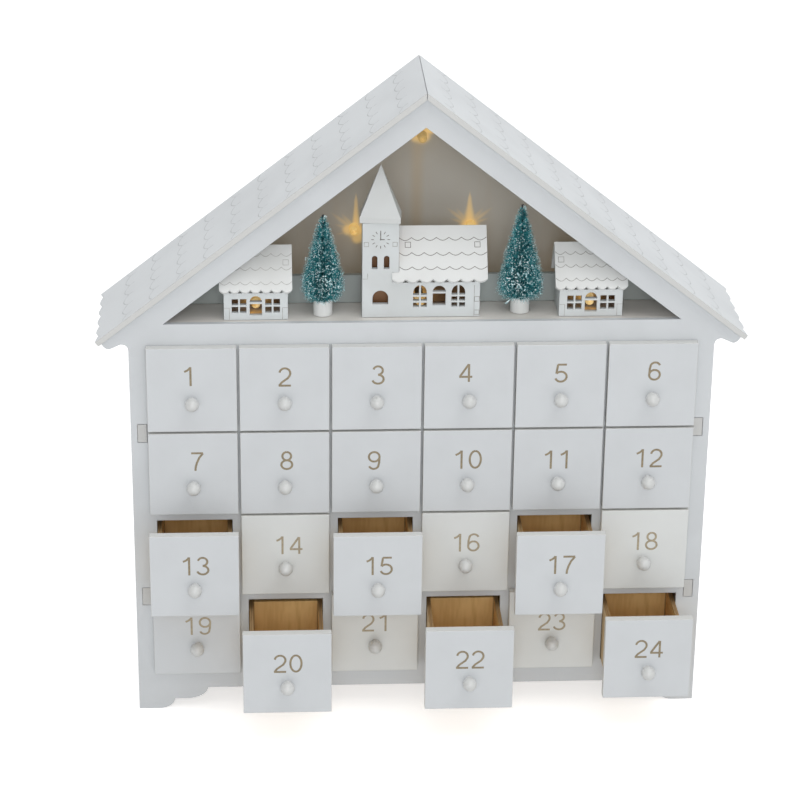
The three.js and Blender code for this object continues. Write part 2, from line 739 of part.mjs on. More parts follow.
function batteryHolder() {
  const front = holderBack - holderDepth;
  const body = block(holderLeft, holderLeft + holderWidth, front, holderBack, holderBottom, holderBottom + holderHeight);
  const bay = block(bayLeft, bayRight, front + holderWall, holderBack + overrun, bayBottom, bayTop);
  const slot = block(switchMiddle[0] - slotLength / 2, switchMiddle[0] + slotLength / 2,
    holderBack - switchHeight - fit, holderBack + overrun,
    switchMiddle[1] - switchKnob / 2 - fit, switchMiddle[1] + switchKnob / 2 + fit);
  const sockets = [bayLeft - lugLength - fit, bayRight - overrun].map((x) => pinAlongX(lugRadius + lugPlay,
    x, x + lugLength + fit + overrun, hingeY, hingeZ));
  const rib = block(holderLeft + holderWall / 2, bayRight + holderWall / 2, front + holderWall / 2,
    front + holderWall + cellRibDepth,
    holderBottom + (holderHeight - cellRibThickness) / 2, holderBottom + (holderHeight + cellRibThickness) / 2);
  return geometryOf(solid(cutFrom(body, [bay, slot, ...sockets])).add(solid(rib)));
}

// Cover that closes the bay and swings down on two lugs at its lower edge
function batteryCover() {
  const left = bayLeft + fit;
  const right = bayRight - fit;
  const plate = block(left, right, coverFront, coverBack, hingeZ, bayTop - fit);
  const edge = pinAlongX(coverThickness / 2, left, right, hingeY, hingeZ);
  const lugs = pinAlongX(lugRadius, left - fit - lugLength, right + fit + lugLength, hingeY, hingeZ);
  const middle = (left + right) / 2;
  const grip = block(middle - gripWidth / 2, middle + gripWidth / 2, coverBack - coverThickness / 2,
    coverBack + gripProud, bayTop - gripInset - gripHeight, bayTop - gripInset);
  return geometryOf(fuse([plate, edge, lugs, grip]));
}

function batterySwitch() {
  const x = switchMiddle[0] - switchTravel / 2;
  return block(x - switchKnob / 2, x + switchKnob / 2, holderBack - switchHeight, holderBack + switchProud,
    switchMiddle[1] - switchKnob / 2, switchMiddle[1] + switchKnob / 2);
}

// Case
addPiece('front_panel', frontPanel(), paint);
addPiece('back_panel', backPanel(), paint);
addPiece('left_side', caseSide(-1), paint);
addPiece('right_side', caseSide(1), paint);
addPiece('bottom_board', block(-gridHalf + fit, gridHalf - fit, innerFront, innerBack,
  lowestSill - shelfBoard, lowestSill), plywood);
addPiece('village_floor', block(-gridHalf + fit, gridHalf - fit, innerFront, innerBack,
  floorTop - floorBoard, floorTop), paint);
for (let row = 1; row < rows; row += 1) {
  addPiece(`shelf_${row}`, shelf(row), plywood);
}
const dividerGeometry = divider();
for (let column = 1; column < columns; column += 1) {
  addPiece(`divider_${column}`, dividerGeometry, plywood).position.x = -gridHalf + column * columnPitch;
}

// Roof
const roofGeometry = roofPanel();
for (const [name, turn] of [['right_roof', 0], ['left_roof', Math.PI]]) {
  const half = new THREE.Group();
  half.position.set(0, roofMiddle, roofUnder);
  half.rotation.z = turn;
  calendar.add(half);
  addPiece(name, roofGeometry, paint, half);
}

// Drawers, numbered by rows from the top left
const drawerGeometry = drawer();
for (let number = 1; number <= rows * columns; number += 1) {
  const row = rows - 1 - Math.floor((number - 1) / columns);
  const mesh = addPiece(`drawer_${String(number).padStart(2, '0')}`, drawerGeometry, paint);
  mesh.position.set(columnX((number - 1) % columns), -(pulledOut[number] ?? 0), sillOf(row) + fit);
}

// Village
addPiece('wiring_rail', wiringRail([leftHouse.x, churchBulb.x, rightHouse.x]), paint);
addPiece('church_walls', churchWalls(), paint);
addPiece('church_roof', churchRoof(), paint);
addPiece('church_spire', churchSpire(), paint)
  .position.set(towerMiddle, churchFront + towerDepth / 2, floorTop + towerHeight + fit);
for (const [name, house] of [['left', leftHouse], ['right', rightHouse]]) {
  addPiece(`${name}_house_walls`, houseWalls(house), paint);
  addPiece(`${name}_house_roof`, houseRoof(house), paint);
}
const baseGeometry = treeBase();
for (const [name, tree] of [['left', leftTree], ['right', rightTree]]) {
  addPiece(`${name}_tree_base`, baseGeometry, paint).position.set(tree.x, tree.depth, villageBottom);
  addPiece(`${name}_tree`, brush(tree), bristle).position.set(tree.x, tree.depth, villageBottom);
}

// Lamps
const houseLampStart = railDepth + panelBoard + sleeveBehind;
const houseLamp = lamp(houseLampStart - (railDepth - houseBulbReach) - bulbLength);
const houseLamps = { left_house_bulb: leftHouse, church_bulb: churchBulb, right_house_bulb: rightHouse };
for (const [name, { x, setBack = 0 }] of Object.entries(houseLamps)) {
  addPiece(name, houseLamp, amber).position.set(x, houseLampStart + setBack, floorTop + houseBulbHeight);
}
const starLamp = lamp(panelBoard + starBulbReach - bulbLength);
for (const [name, [x, height]] of Object.entries(starBulbs)) {
  addPiece(name, starLamp, amber).position.set(x, caseDepth, floorTop + height);
}

// Battery holder
addPiece('battery_box', batteryHolder(), plastic);
addPiece('battery_cover', batteryCover(), plastic);
addPiece('battery_switch', batterySwitch(), plastic);

// Origin at the middle of the footprint, drawers as pulled out at rest
const knobReach = knobNeckLength + Math.sqrt(knobRadius ** 2 - knobNeckRadius ** 2) + knobRadius;
const foremost = -(Math.max(...Object.values(pulledOut)) + fit + frontBoard + knobReach);
const rearmost = caseDepth + switchProud - fit;
calendar.position.y = -(foremost + rearmost) / 2;

export default calendar;
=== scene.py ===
# %% [markdown]
# # A wooden house advent calendar
#
# The real thing is a flat-pack house of laser-cut board: a white case with 24 numbered drawers, and a
# little lit village behind the opening in its gable. This lesson dresses the CAD model of it for a picture.
#
# The CAD model gives us the places of all the pieces. Big flat boards stay as they are and only get a
# finish. Whatever has small shapes of its own (drawers, bottle-brush trees, lamps) is built here in mesh
# code, in the same metres and the same frame, so that nothing has to be fitted by eye.

import json
import math
import random

import bmesh
import bpy
from mathutils import Matrix, Vector
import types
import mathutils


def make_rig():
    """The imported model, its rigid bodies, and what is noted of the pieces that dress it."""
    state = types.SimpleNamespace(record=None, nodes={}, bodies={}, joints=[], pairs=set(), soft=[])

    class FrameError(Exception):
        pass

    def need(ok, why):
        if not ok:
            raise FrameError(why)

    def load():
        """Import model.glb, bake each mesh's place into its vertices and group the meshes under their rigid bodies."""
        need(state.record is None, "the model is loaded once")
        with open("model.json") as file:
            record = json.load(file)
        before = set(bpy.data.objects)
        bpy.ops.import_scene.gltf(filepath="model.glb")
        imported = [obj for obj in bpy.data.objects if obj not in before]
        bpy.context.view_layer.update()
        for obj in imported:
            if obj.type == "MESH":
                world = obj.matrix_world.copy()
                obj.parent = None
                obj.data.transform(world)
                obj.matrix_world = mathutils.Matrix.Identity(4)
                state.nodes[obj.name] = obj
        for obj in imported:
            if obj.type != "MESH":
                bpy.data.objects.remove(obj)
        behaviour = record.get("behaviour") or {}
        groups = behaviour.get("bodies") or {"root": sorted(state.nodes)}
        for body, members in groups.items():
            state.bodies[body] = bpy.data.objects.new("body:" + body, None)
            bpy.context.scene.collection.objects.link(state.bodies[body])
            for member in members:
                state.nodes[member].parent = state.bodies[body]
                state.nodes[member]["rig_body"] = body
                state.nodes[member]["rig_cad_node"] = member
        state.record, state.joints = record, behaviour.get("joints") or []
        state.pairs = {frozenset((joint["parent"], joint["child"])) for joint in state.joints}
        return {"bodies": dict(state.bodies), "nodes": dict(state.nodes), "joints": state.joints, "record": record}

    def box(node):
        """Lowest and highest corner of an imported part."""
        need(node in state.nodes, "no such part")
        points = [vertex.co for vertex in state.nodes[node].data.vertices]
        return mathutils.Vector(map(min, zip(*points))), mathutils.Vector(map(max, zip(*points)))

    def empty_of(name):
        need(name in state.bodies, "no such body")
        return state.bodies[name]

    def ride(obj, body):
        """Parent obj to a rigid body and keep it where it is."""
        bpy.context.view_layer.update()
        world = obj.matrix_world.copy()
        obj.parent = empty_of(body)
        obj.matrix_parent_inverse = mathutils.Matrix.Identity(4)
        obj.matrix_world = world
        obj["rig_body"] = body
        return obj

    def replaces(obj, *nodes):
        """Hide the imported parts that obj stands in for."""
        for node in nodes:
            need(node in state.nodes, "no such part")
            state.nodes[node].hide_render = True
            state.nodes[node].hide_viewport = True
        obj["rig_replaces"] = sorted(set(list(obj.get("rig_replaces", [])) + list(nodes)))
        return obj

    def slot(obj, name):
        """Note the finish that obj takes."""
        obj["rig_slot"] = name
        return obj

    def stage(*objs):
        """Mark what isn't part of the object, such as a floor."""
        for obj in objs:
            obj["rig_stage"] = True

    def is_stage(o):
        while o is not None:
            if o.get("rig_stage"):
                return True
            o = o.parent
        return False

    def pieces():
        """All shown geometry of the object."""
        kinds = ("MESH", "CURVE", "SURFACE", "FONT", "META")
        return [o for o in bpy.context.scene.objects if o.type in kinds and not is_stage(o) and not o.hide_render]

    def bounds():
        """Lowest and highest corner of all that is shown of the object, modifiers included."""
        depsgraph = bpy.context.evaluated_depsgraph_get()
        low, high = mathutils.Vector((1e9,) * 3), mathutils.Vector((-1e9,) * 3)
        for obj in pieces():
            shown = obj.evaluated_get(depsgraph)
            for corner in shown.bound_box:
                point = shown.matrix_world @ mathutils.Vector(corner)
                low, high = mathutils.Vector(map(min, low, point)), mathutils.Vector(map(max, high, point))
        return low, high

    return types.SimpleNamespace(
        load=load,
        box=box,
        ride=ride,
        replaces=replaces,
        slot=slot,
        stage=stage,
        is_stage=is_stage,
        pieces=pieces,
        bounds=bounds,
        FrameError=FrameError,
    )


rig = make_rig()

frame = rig.load()
cad_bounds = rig.bounds()
print("CAD nodes:", len(frame["nodes"]), "bodies:", len(frame["bodies"]))

# %% [markdown]
# ## One ruler for everything
#
# Sizes are easier to read in millimetres, measured from the front of the case: x to the right, depth
# behind the front panel's face, z up from the table. `at` turns such a place into Blender's metres.

# %% Millimetres to metres
MM = 0.001
panel_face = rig.box("front_panel")[0].y


def at(x, depth, z):
    return Vector((x * MM, panel_face + depth * MM, z * MM))


village_floor_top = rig.box("village_floor")[1].z / MM
print("Front panel's face at y =", round(panel_face, 6), "m")
print("Village floor", round(village_floor_top, 2), "mm above the table")

# %% [markdown]
# ## Camera
#
# The picture was taken from above and a little to the left with a long lens. A camera's place can be
# found by trying, but here it comes from geometry: the 24 drawers form a regular grid, and only one
# camera sees a grid of that size with its corners where they are in the picture. The result is a target
# point, three angles and a distance.

# %% Camera from a target, three angles and a distance
target_x, target_height, distance = -12.387, 194.866, 1486.151
focal_pixels, picture_width = 2663.741, 800
yaw, pitch, roll = (math.radians(a) for a in (3.4, 23.718, 0.696))
forward = Vector((math.sin(yaw) * math.cos(pitch), math.cos(yaw) * math.cos(pitch), -math.sin(pitch)))
level_right = Vector((math.cos(yaw), -math.sin(yaw), 0))
level_up = level_right.cross(forward)
right = math.cos(roll) * level_right + math.sin(roll) * level_up
up = math.cos(roll) * level_up - math.sin(roll) * level_right

lens = bpy.data.cameras.new("camera")
lens.sensor_fit = "HORIZONTAL"
lens.sensor_width = 36
lens.lens = lens.sensor_width * focal_pixels / picture_width
camera = bpy.data.objects.new("camera", lens)
camera.matrix_world = Matrix((right, up, -forward)).transposed().to_4x4()
camera.location = at(target_x, 0, target_height) - forward * distance * MM
bpy.context.collection.objects.link(camera)
bpy.context.scene.camera = camera
bpy.context.scene.view_settings.view_transform = "Standard"
print("Camera at", [round(c, 3) for c in camera.location], "lens", round(lens.lens, 1), "mm")

# %% [markdown]
# ## Building helpers
#
# A few small helpers carry most of the work. `piece` turns points and faces into an object that moves
# with one body of the model. `smooth_box` makes a board with eased edges, because no real board has
# a perfectly sharp arris. `ribbon` draws a line of a given width, for everything that the laser scored.

# %% Make an object from points and faces
def build_mesh(name, points, faces, material, smooth=False):
    mesh = bpy.data.meshes.new(name)
    mesh.from_pydata(points, [], faces)
    mesh.polygons.foreach_set("use_smooth", [smooth] * len(faces))
    mesh.materials.append(material)
    mesh.update()
    return mesh


def place_piece(name, mesh, body, slot=None, origin=None):
    obj = bpy.data.objects.new(name, mesh)
    if origin is not None:
        obj.location = origin
    bpy.context.collection.objects.link(obj)
    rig.ride(obj, body)
    if slot:
        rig.slot(obj, slot)
    return obj


def piece(name, points, faces, material, body, slot, smooth=False):
    return place_piece(name, build_mesh(name, points, faces, material, smooth), body, slot)


def tube_faces(rows, around, start=0):
    faces = []
    for ring in range(start, start + rows * around, around):
        for i in range(around):
            j = (i + 1) % around
            faces.append((ring + i, ring + j, ring + around + j, ring + around + i))
    return faces


# %% Make a board with eased edges
def smooth_box(name, low, high, ease, material):
    mesh = bpy.data.meshes.new(name)
    work = bmesh.new()
    bmesh.ops.create_cube(work, size=1)
    low, high = Vector(low) * MM, Vector(high) * MM
    size, middle = high - low, (high + low) / 2
    for vertex in work.verts:
        vertex.co = Vector([vertex.co[i] * size[i] + middle[i] for i in range(3)])
    bmesh.ops.bevel(work, geom=work.edges[:], offset=ease * MM, segments=2, profile=0.7, affect="EDGES")
    work.to_mesh(mesh)
    work.free()
    mesh.materials.append(material)
    return mesh


# %% Draw a scored line as a flat ribbon
def ribbon(points, faces, line, width, place, closed=False):
    line = [Vector(p) for p in line]
    start = len(points)
    count = len(line)
    for i, here in enumerate(line):
        before = line[i - 1] if i > 0 or closed else None
        after = line[(i + 1) % count] if i < count - 1 or closed else None
        arriving = (here - before).normalized() if before is not None else (after - here).normalized()
        leaving = (after - here).normalized() if after is not None else arriving
        direction = (arriving + leaving).normalized()
        across = Vector((-direction.y, direction.x))
        stretch = 1 / max(0.4, across.dot(Vector((-arriving.y, arriving.x))))
        offset = across * width / 2 * stretch
        points += [place(*(here + offset)), place(*(here - offset))]
    steps = count if closed else count - 1
    for i in range(steps):
        a, b = start + 2 * i, start + 2 * ((i + 1) % count)
        faces.append((a, a + 1, b + 1, b))


def arc(cx, cy, rx, ry, start, end, steps=12):
    angles = [math.radians(start + (end - start) * i / steps) for i in range(steps + 1)]
    return [(cx + rx * math.cos(a), cy + ry * math.sin(a)) for a in angles]


# %% [markdown]
# ## Finishes
#
# Every finish is a small network of nodes. `Finish` keeps the wiring short: it makes a Principled
# shader, gives us position on the object in metres, and does arithmetic with plain numbers or sockets.

# %% A short way to write a node network
class Finish:
    def __init__(self, name):
        self.material = bpy.data.materials.new(name)
        self.material.use_nodes = True
        self.nodes = self.material.node_tree.nodes
        self.links = self.material.node_tree.links
        self.shader = self.nodes["Principled BSDF"]
        self.position = self.nodes.new("ShaderNodeTexCoord").outputs["Object"]

    def set(self, **values):
        for name, value in values.items():
            self.connect(value, self.shader.inputs[name.replace("_", " ")])

    def connect(self, value, socket):
        if isinstance(value, bpy.types.NodeSocket):
            self.links.new(value, socket)
        elif isinstance(value, (tuple, list)) and socket.type == "RGBA":
            socket.default_value = (*value[:3], 1)
        else:
            socket.default_value = value

    def math(self, operation, *values):
        node = self.nodes.new("ShaderNodeMath")
        node.operation = operation
        for value, socket in zip(values, node.inputs):
            self.connect(value, socket)
        return node.outputs[0]

    def times(self, first, second):
        return self.math("MULTIPLY", first, second)

    def plus(self, first, second):
        return self.math("ADD", first, second)

    def minus(self, first, second):
        return self.math("SUBTRACT", first, second)

    def larger(self, first, second):
        return self.math("MAXIMUM", first, second)

    def apart(self, first, second):
        return self.math("ABSOLUTE", self.minus(first, second))

    def length(self, across, up):
        return self.math("SQRT", self.plus(self.times(across, across), self.times(up, up)))

    def axes(self):
        node = self.nodes.new("ShaderNodeSeparateXYZ")
        self.links.new(self.position, node.inputs[0])
        return node.outputs

    def noise(self, scale, detail=3, stretch=(1, 1, 1)):
        place = self.nodes.new("ShaderNodeMapping")
        place.inputs["Scale"].default_value = stretch
        self.links.new(self.position, place.inputs["Vector"])
        node = self.nodes.new("ShaderNodeTexNoise")
        node.inputs["Scale"].default_value = scale
        node.inputs["Detail"].default_value = detail
        self.links.new(place.outputs[0], node.inputs["Vector"])
        return node.outputs[0]

    def ramp(self, value, low, high, start=0.0, end=1.0):
        node = self.nodes.new("ShaderNodeMapRange")
        node.interpolation_type = "SMOOTHSTEP"
        for name, number in (("From Min", low), ("From Max", high), ("To Min", start), ("To Max", end)):
            node.inputs[name].default_value = number
        self.links.new(value, node.inputs["Value"])
        return node.outputs[0]

    def mix(self, factor, first, second):
        node = self.nodes.new("ShaderNodeMix")
        node.data_type = "RGBA"
        self.connect(factor, node.inputs["Factor"])
        self.connect(first, node.inputs[6])
        self.connect(second, node.inputs[7])
        return node.outputs[2]

    def bump(self, height, depth, strength=1.0, normal=None):
        node = self.nodes.new("ShaderNodeBump")
        node.inputs["Distance"].default_value = depth
        node.inputs["Strength"].default_value = strength
        self.links.new(height, node.inputs["Height"])
        if normal is not None:
            self.links.new(normal, node.inputs["Normal"])
        return node.outputs[0]

    def eased(self, radius):
        node = self.nodes.new("ShaderNodeBevel")
        node.samples = 4
        node.inputs["Radius"].default_value = radius * MM
        return node.outputs[0]


# %% A plain finish in two tones that a noise blends, for the small pieces
def two_tone(name, first, second, scale, detail=3, high=0.6, **values):
    finish = Finish(name)
    blend = finish.ramp(finish.noise(scale, detail), 0.4, high)
    finish.set(Base_Color=finish.mix(blend, first, second), **values)
    return finish


# %% [markdown]
# ### White paint
#
# The boards are sprayed after cutting. Sprayed paint on fibreboard is matt and nearly flat, with faint
# clouds where the coat is thinner and a fine pebbled skin. The clouds go into the colour and the
# roughness, the skin goes into a bump, and a Bevel node rounds the light on every sharp CAD edge.

# %% White paint
PAINT = (0.576, 0.599, 0.618)
PAINT_THIN = (0.552, 0.573, 0.590)
# The roof's slopes are painted lighter than the case's white: a painted highlight for the light from above.
ROOF_PAINT_LIT = (0.702, 0.730, 0.750)
ROOF_PAINT_LIT_THIN = (0.676, 0.701, 0.720)
# Fronts beside and under the open drawers are painted lighter and warmer: a painted reflection of the light that the
# open plywood trays throw on them.
PAINT_WARM_REFLECTION = (0.656, 0.674, 0.668)
PAINT_WARM_REFLECTION_THIN = (0.631, 0.647, 0.640)
EDGE_CREAM = (0.655, 0.645, 0.60)
TENON_END = (0.500, 0.496, 0.480)
ROOF_EDGE = (0.560, 0.566, 0.556)


def paint_network(finish, base=PAINT, thin=PAINT_THIN, ease=0.35):
    clouds = finish.ramp(finish.noise(22, 4), 0.42, 0.68)
    skin = finish.noise(1400, 2)
    finish.set(Roughness=finish.plus(finish.times(clouds, 0.1), 0.5))
    finish.set(Normal=finish.bump(skin, 0.00006, 0.5, finish.eased(ease)))
    return finish.mix(clouds, base, thin)


def white_paint(name, **options):
    finish = Finish(name)
    finish.set(Base_Color=paint_network(finish, **options))
    return finish.material


paint = white_paint("white_paint")
print("Finish:", paint.name)

# %% [markdown]
# ### Bare plywood
#
# The trays and the inner boards are left bare. Thin plywood shows three things: grain along the sheet,
# plies that alternate light and dark across its thickness, and a scorched line where the laser cut an edge
# or a joint. Where two boards of a tray meet in an inner corner, that dark line is widened into painted shade.
# The plies are a wave across the thickness, so each board says which axis that is and where its
# middle lies, and the wave then runs evenly from there to both faces.

# %% Scorched lines, and painted shade in the corners where two boards meet
WOOD_LIGHT = (0.80, 0.545, 0.235)
WOOD_DARK = (0.57, 0.345, 0.130)
WOOD_BURNT_AND_SHADE = (0.15, 0.082, 0.036)
WOOD_PALE = (0.66, 0.53, 0.35)


def scorched(finish, lines, reach=0.9):
    dark = 0.0
    for axis, place in lines:
        coordinate = finish.axes()[axis]
        if axis == 0:
            coordinate = finish.math("ABSOLUTE", coordinate)
        distance = finish.apart(coordinate, place * MM)
        dark = finish.larger(finish.ramp(distance, 0.1 * MM, reach * MM, 1, 0), dark)
    return dark


# %% Bare plywood for boards that are thin along x, y or z
def plywood(name, thin_axis, middle=0.0, ply=0.75, char_and_shade=(), pale=None):
    finish = Finish(name)
    stretch = [1.0, 1.0, 1.0]
    stretch[(thin_axis + 1) % 3] = 0.12
    grain = finish.ramp(finish.noise(420, 5, stretch), 0.35, 0.7)
    patches = finish.ramp(finish.noise(34, 4), 0.42, 0.66)
    across = finish.axes()[thin_axis]
    if thin_axis == 0 and middle:
        across = finish.math("ABSOLUTE", across)
    from_middle = finish.minus(across, middle * MM)
    plies = finish.math("COSINE", finish.times(from_middle, math.tau / (2 * ply * MM)))
    colour = finish.mix(finish.times(grain, 0.5), WOOD_LIGHT, WOOD_DARK)
    colour = finish.mix(finish.times(patches, 0.45), colour, WOOD_DARK)
    if pale is not None:
        from_middle = finish.math("ABSOLUTE", finish.axes()[0])
        outside = finish.ramp(from_middle, (pale - 0.3) * MM, (pale - 0.05) * MM)
        colour = finish.mix(finish.times(outside, 0.6), colour, WOOD_PALE)
    colour = finish.mix(finish.ramp(plies, 0.25, 0.9, 0, 0.62), colour, WOOD_BURNT_AND_SHADE)
    if char_and_shade:
        colour = finish.mix(finish.times(scorched(finish, char_and_shade), 0.72), colour, WOOD_BURNT_AND_SHADE)
    finish.set(Base_Color=colour, Roughness=finish.plus(finish.times(grain, 0.15), 0.62))
    finish.set(Normal=finish.bump(grain, 0.00008, 0.6))
    return finish.material


column_pitch, row_pitch, plies_per_pitch = 51.2, 51.3, 68
shelf_middle = 26.2
divider_wood = plywood("divider_plywood", 0, 0.0, column_pitch / plies_per_pitch)
shelf_wood = plywood("shelf_plywood", 2, shelf_middle, row_pitch / plies_per_pitch)
print("Finishes:", divider_wood.name, shelf_wood.name)

# %% [markdown]
# ## The case
#
# The big boards keep their CAD shape. The panels, sides and roof are painted; the shelves and dividers
# behind the drawers are bare. The cut end of a board drinks the paint. So the tenon ends of the sides,
# which show at the front, are a little greyer than the paint, and so is the roof's front edge.

# %% Paint the panels and sides, leave the inner boards bare
def dress(material, *names):
    for name in names:
        for holder in frame["nodes"][name].material_slots:
            holder.material = material


dress(paint, "front_panel")
side_finish = Finish("side_paint")
tenon_end = side_finish.ramp(side_finish.axes()[1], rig.box("front_panel")[0].y + 0.1 * MM,
                             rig.box("front_panel")[0].y + 0.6 * MM, 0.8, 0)
side_coat = paint_network(side_finish, PAINT, PAINT_THIN)
side_finish.set(Base_Color=side_finish.mix(tenon_end, side_coat, TENON_END))
dress(side_finish.material, "left_side", "right_side")
dress(divider_wood, *[f"divider_{i}" for i in range(1, 6)])
dress(shelf_wood, "bottom_board", "shelf_1", "shelf_2", "shelf_3")

# %% A greyer cut front edge on the roof
roof_finish = Finish("roof_paint")
roof_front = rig.box("left_roof")[0].y
edge = roof_finish.ramp(roof_finish.axes()[1], roof_front + 0.1 * MM, roof_front + 0.5 * MM, 1, 0)
# The slopes take the lighter roof paint, a painted highlight; the front edge keeps a greyer tone.
lit_roof_coat = paint_network(roof_finish, ROOF_PAINT_LIT, ROOF_PAINT_LIT_THIN)
roof_finish.set(Base_Color=roof_finish.mix(edge, lit_roof_coat, ROOF_EDGE))
dress(roof_finish.material, "left_roof", "right_roof")
print("Roof front edge at y =", round(roof_front, 4))

# %% [markdown]
# ### Scored shingles on the roof
#
# A shallow laser pass draws rows of round-ended shingles on both roof panels. Each row is a chain of
# arcs with a short slit up the slope from every cusp, and every second row is shifted by half a
# shingle. Scored lines are far thinner than the board, so a ribbon just above the surface is enough.

# %% Rows of round-ended shingles
# The grey of these scored lines is painted shade: it stands for the shadow that falls into the shallow grooves.
groove_shade = two_tone("scored_groove_shade", (0.50, 0.52, 0.53), (0.61, 0.63, 0.645), 300, Roughness=0.75)

roof_low, roof_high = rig.box("right_roof")
roof_pitch = math.radians(38)
glue_gap, roof_board = 0.3, 3
roof_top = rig.box("front_panel")[1].z / MM + (glue_gap + roof_board) / math.cos(roof_pitch)
roof_depth = (roof_high.y - roof_low.y) / MM
roof_length = roof_high.x / MM / math.cos(roof_pitch)
roof_rows, shingles_across = 12, 5
shingle = roof_depth / shingles_across


def roof_place(side, lift=0.04):
    def place(along, down):
        x = down * math.cos(roof_pitch) + lift * math.sin(roof_pitch)
        z = roof_top - down * math.sin(roof_pitch) + lift * math.cos(roof_pitch)
        return Vector((side * x * MM, roof_low.y + along * MM, z * MM))
    return place


def shingle_row(points, faces, down, shift, place, width=0.5, sag=3.2, slit=3.6):
    cusp = -shift
    while cusp < roof_depth:
        rounded = [(cusp + shingle * i / 8, down - sag * (1 - math.sin(math.pi * i / 8))) for i in range(9)]
        inside = [p for p in rounded if 0.4 < p[0] < roof_depth - 0.4]
        if len(inside) > 1:
            ribbon(points, faces, inside, width, place)
        if 0.6 < cusp < roof_depth - 0.6:
            ribbon(points, faces, [(cusp, down - sag), (cusp, down - sag - slit)], width, place)
        cusp += shingle


for side, name in ((-1, "left"), (1, "right")):
    points, faces = [], []
    for row in range(1, roof_rows):
        shingle_row(points, faces, row * roof_length / roof_rows, shingle / 2 * (row % 2), roof_place(side))
    piece(f"{name}_roof_shingles", points, faces, groove_shade.material, "case", "painted_board")
    print(name, "roof shingles:", len(faces), "ribbon faces")

# %% [markdown]
# ## The drawers
#
# A drawer is a bare plywood tray with a painted front glued over its open end and a small turned knob.
# All 24 are alike, so each board is modelled once about the drawer's own origin, and 24 light copies
# share the meshes. Only the numeral differs, and the fronts beside and under the open drawers, which carry a
# painted warm reflection of the open trays. Each copy rides on its own drawer body, so it slides.

# %% Finishes for the drawer fronts
front_width, front_height, front_board = 49.7, 50.0, 5.0
tray_half, tray_height, tray_length, tray_wall, tray_floor = 20.95, 37.0, 56.0, 2.3, 2.0
gap = 0.3
front_bottom = -2.5
front_middle = front_bottom + front_height / 2


def front_paint(name, base, thin):
    finish = Finish(name)
    x, _, z = finish.axes()
    beside = finish.ramp(finish.math("ABSOLUTE", x), 24.5 * MM, 24.82 * MM)
    over = finish.ramp(finish.apart(z, front_middle * MM), 24.65 * MM, 24.97 * MM)
    rim = finish.times(finish.larger(beside, over), 0.5)
    finish.set(Base_Color=finish.mix(rim, paint_network(finish, base, thin), EDGE_CREAM))
    return finish.material


cool_front = front_paint("drawer_front_paint", PAINT, PAINT_THIN)
# The second front finish carries that painted warm reflection.
reflection_front = front_paint("drawer_front_paint_warm", PAINT_WARM_REFLECTION, PAINT_WARM_REFLECTION_THIN)
print("Front finishes:", cool_front.name, reflection_front.name)

# %% Wood for the four boards of a tray
inner = tray_half - tray_wall
# Inner corners where the tray's boards meet: scorched joints widened into painted shade. The top of a side wall is a
# scorched cut.
shaded_corner_lines = ((2, tray_floor), (1, tray_length - tray_wall), (1, -gap))
side_wood = plywood("tray_side_plywood", 0, tray_half - tray_wall / 2,
                    char_and_shade=((2, tray_height), *shaded_corner_lines), pale=tray_half)
back_wood = plywood("tray_back_plywood", 1, tray_length - tray_wall / 2, char_and_shade=((0, inner), (2, tray_floor)))
floor_wood = plywood("tray_floor_plywood", 2, tray_floor / 2, char_and_shade=((0, inner), *shaded_corner_lines[1:]))
print("Tray finishes:", side_wood.name, back_wood.name, floor_wood.name)

# %% Boards of one drawer
front_corners = ((-front_width / 2, -gap - front_board, front_bottom),
                 (front_width / 2, -gap, front_bottom + front_height))
front_meshes = {paint_name: smooth_box(paint_name, *front_corners, 0.35, finish)
                for paint_name, finish in (("drawer_front", cool_front), ("drawer_front_warm", reflection_front))}
tray_boards = (("tray_left", (-tray_half, -gap, 0), (-inner, tray_length, tray_height), side_wood),
               ("tray_right", (inner, -gap, 0), (tray_half, tray_length, tray_height), side_wood),
               ("tray_back", (-inner, tray_length - tray_wall, 0), (inner, tray_length, tray_height),
                back_wood),
               ("tray_floor", (-inner, -gap, 0), (inner, tray_length - tray_wall, tray_floor), floor_wood))
tray_meshes = {name: smooth_box(name, low, high, 0.15, wood) for name, low, high, wood in tray_boards}
print("Tray boards:", list(tray_meshes))

# %% [markdown]
# ### The knob
#
# A turned knob is a profile spun about its axis. The profile is a short neck that runs into a ball;
# spinning it in 24 steps and shading it smooth is all that such a small thing needs. Its paint is thicker
# and a little glossier than the boards', because knobs are dipped.

# %% Spin the knob's profile about the pull direction
def spun(name, profile, axis_place, steps, material):
    points = []
    for radius, height in profile:
        for i in range(steps):
            angle = math.tau * i / steps
            points.append(axis_place(radius * math.cos(angle), radius * math.sin(angle), height))
    return build_mesh(name, points, tube_faces(len(profile) - 1, steps), material, smooth=True)


knob_finish = two_tone("knob_paint", (0.575, 0.585, 0.580), (0.540, 0.550, 0.543), 260, high=0.65,
                       Roughness=0.32)
knob_finish.set(Normal=knob_finish.bump(knob_finish.noise(900, 1), 0.00005, 0.4))
knob_radius, neck_radius, neck_length, knob_drop = 4.0, 2.0, 1.4, 6.7
knob_height = front_middle - knob_drop
ball_middle = neck_length + math.sqrt(knob_radius ** 2 - neck_radius ** 2)
first = math.asin(neck_radius / knob_radius)
knob_profile = [(neck_radius + 0.5, 0.0), (neck_radius + 0.1, 0.4), (neck_radius, neck_length)]
for i in range(11):
    angle = first + (math.pi - first) * i / 10
    knob_profile.append((max(0.01, knob_radius * math.sin(angle)),
                         ball_middle - knob_radius * math.cos(angle)))
knob_mesh = spun("drawer_knob", knob_profile,
                 lambda a, b, h: Vector((a, -gap - front_board - h, knob_height + b)) * MM,
                 24, knob_finish.material)
print("Knob reaches", round(knob_profile[-1][1], 2), "mm in front of its board")
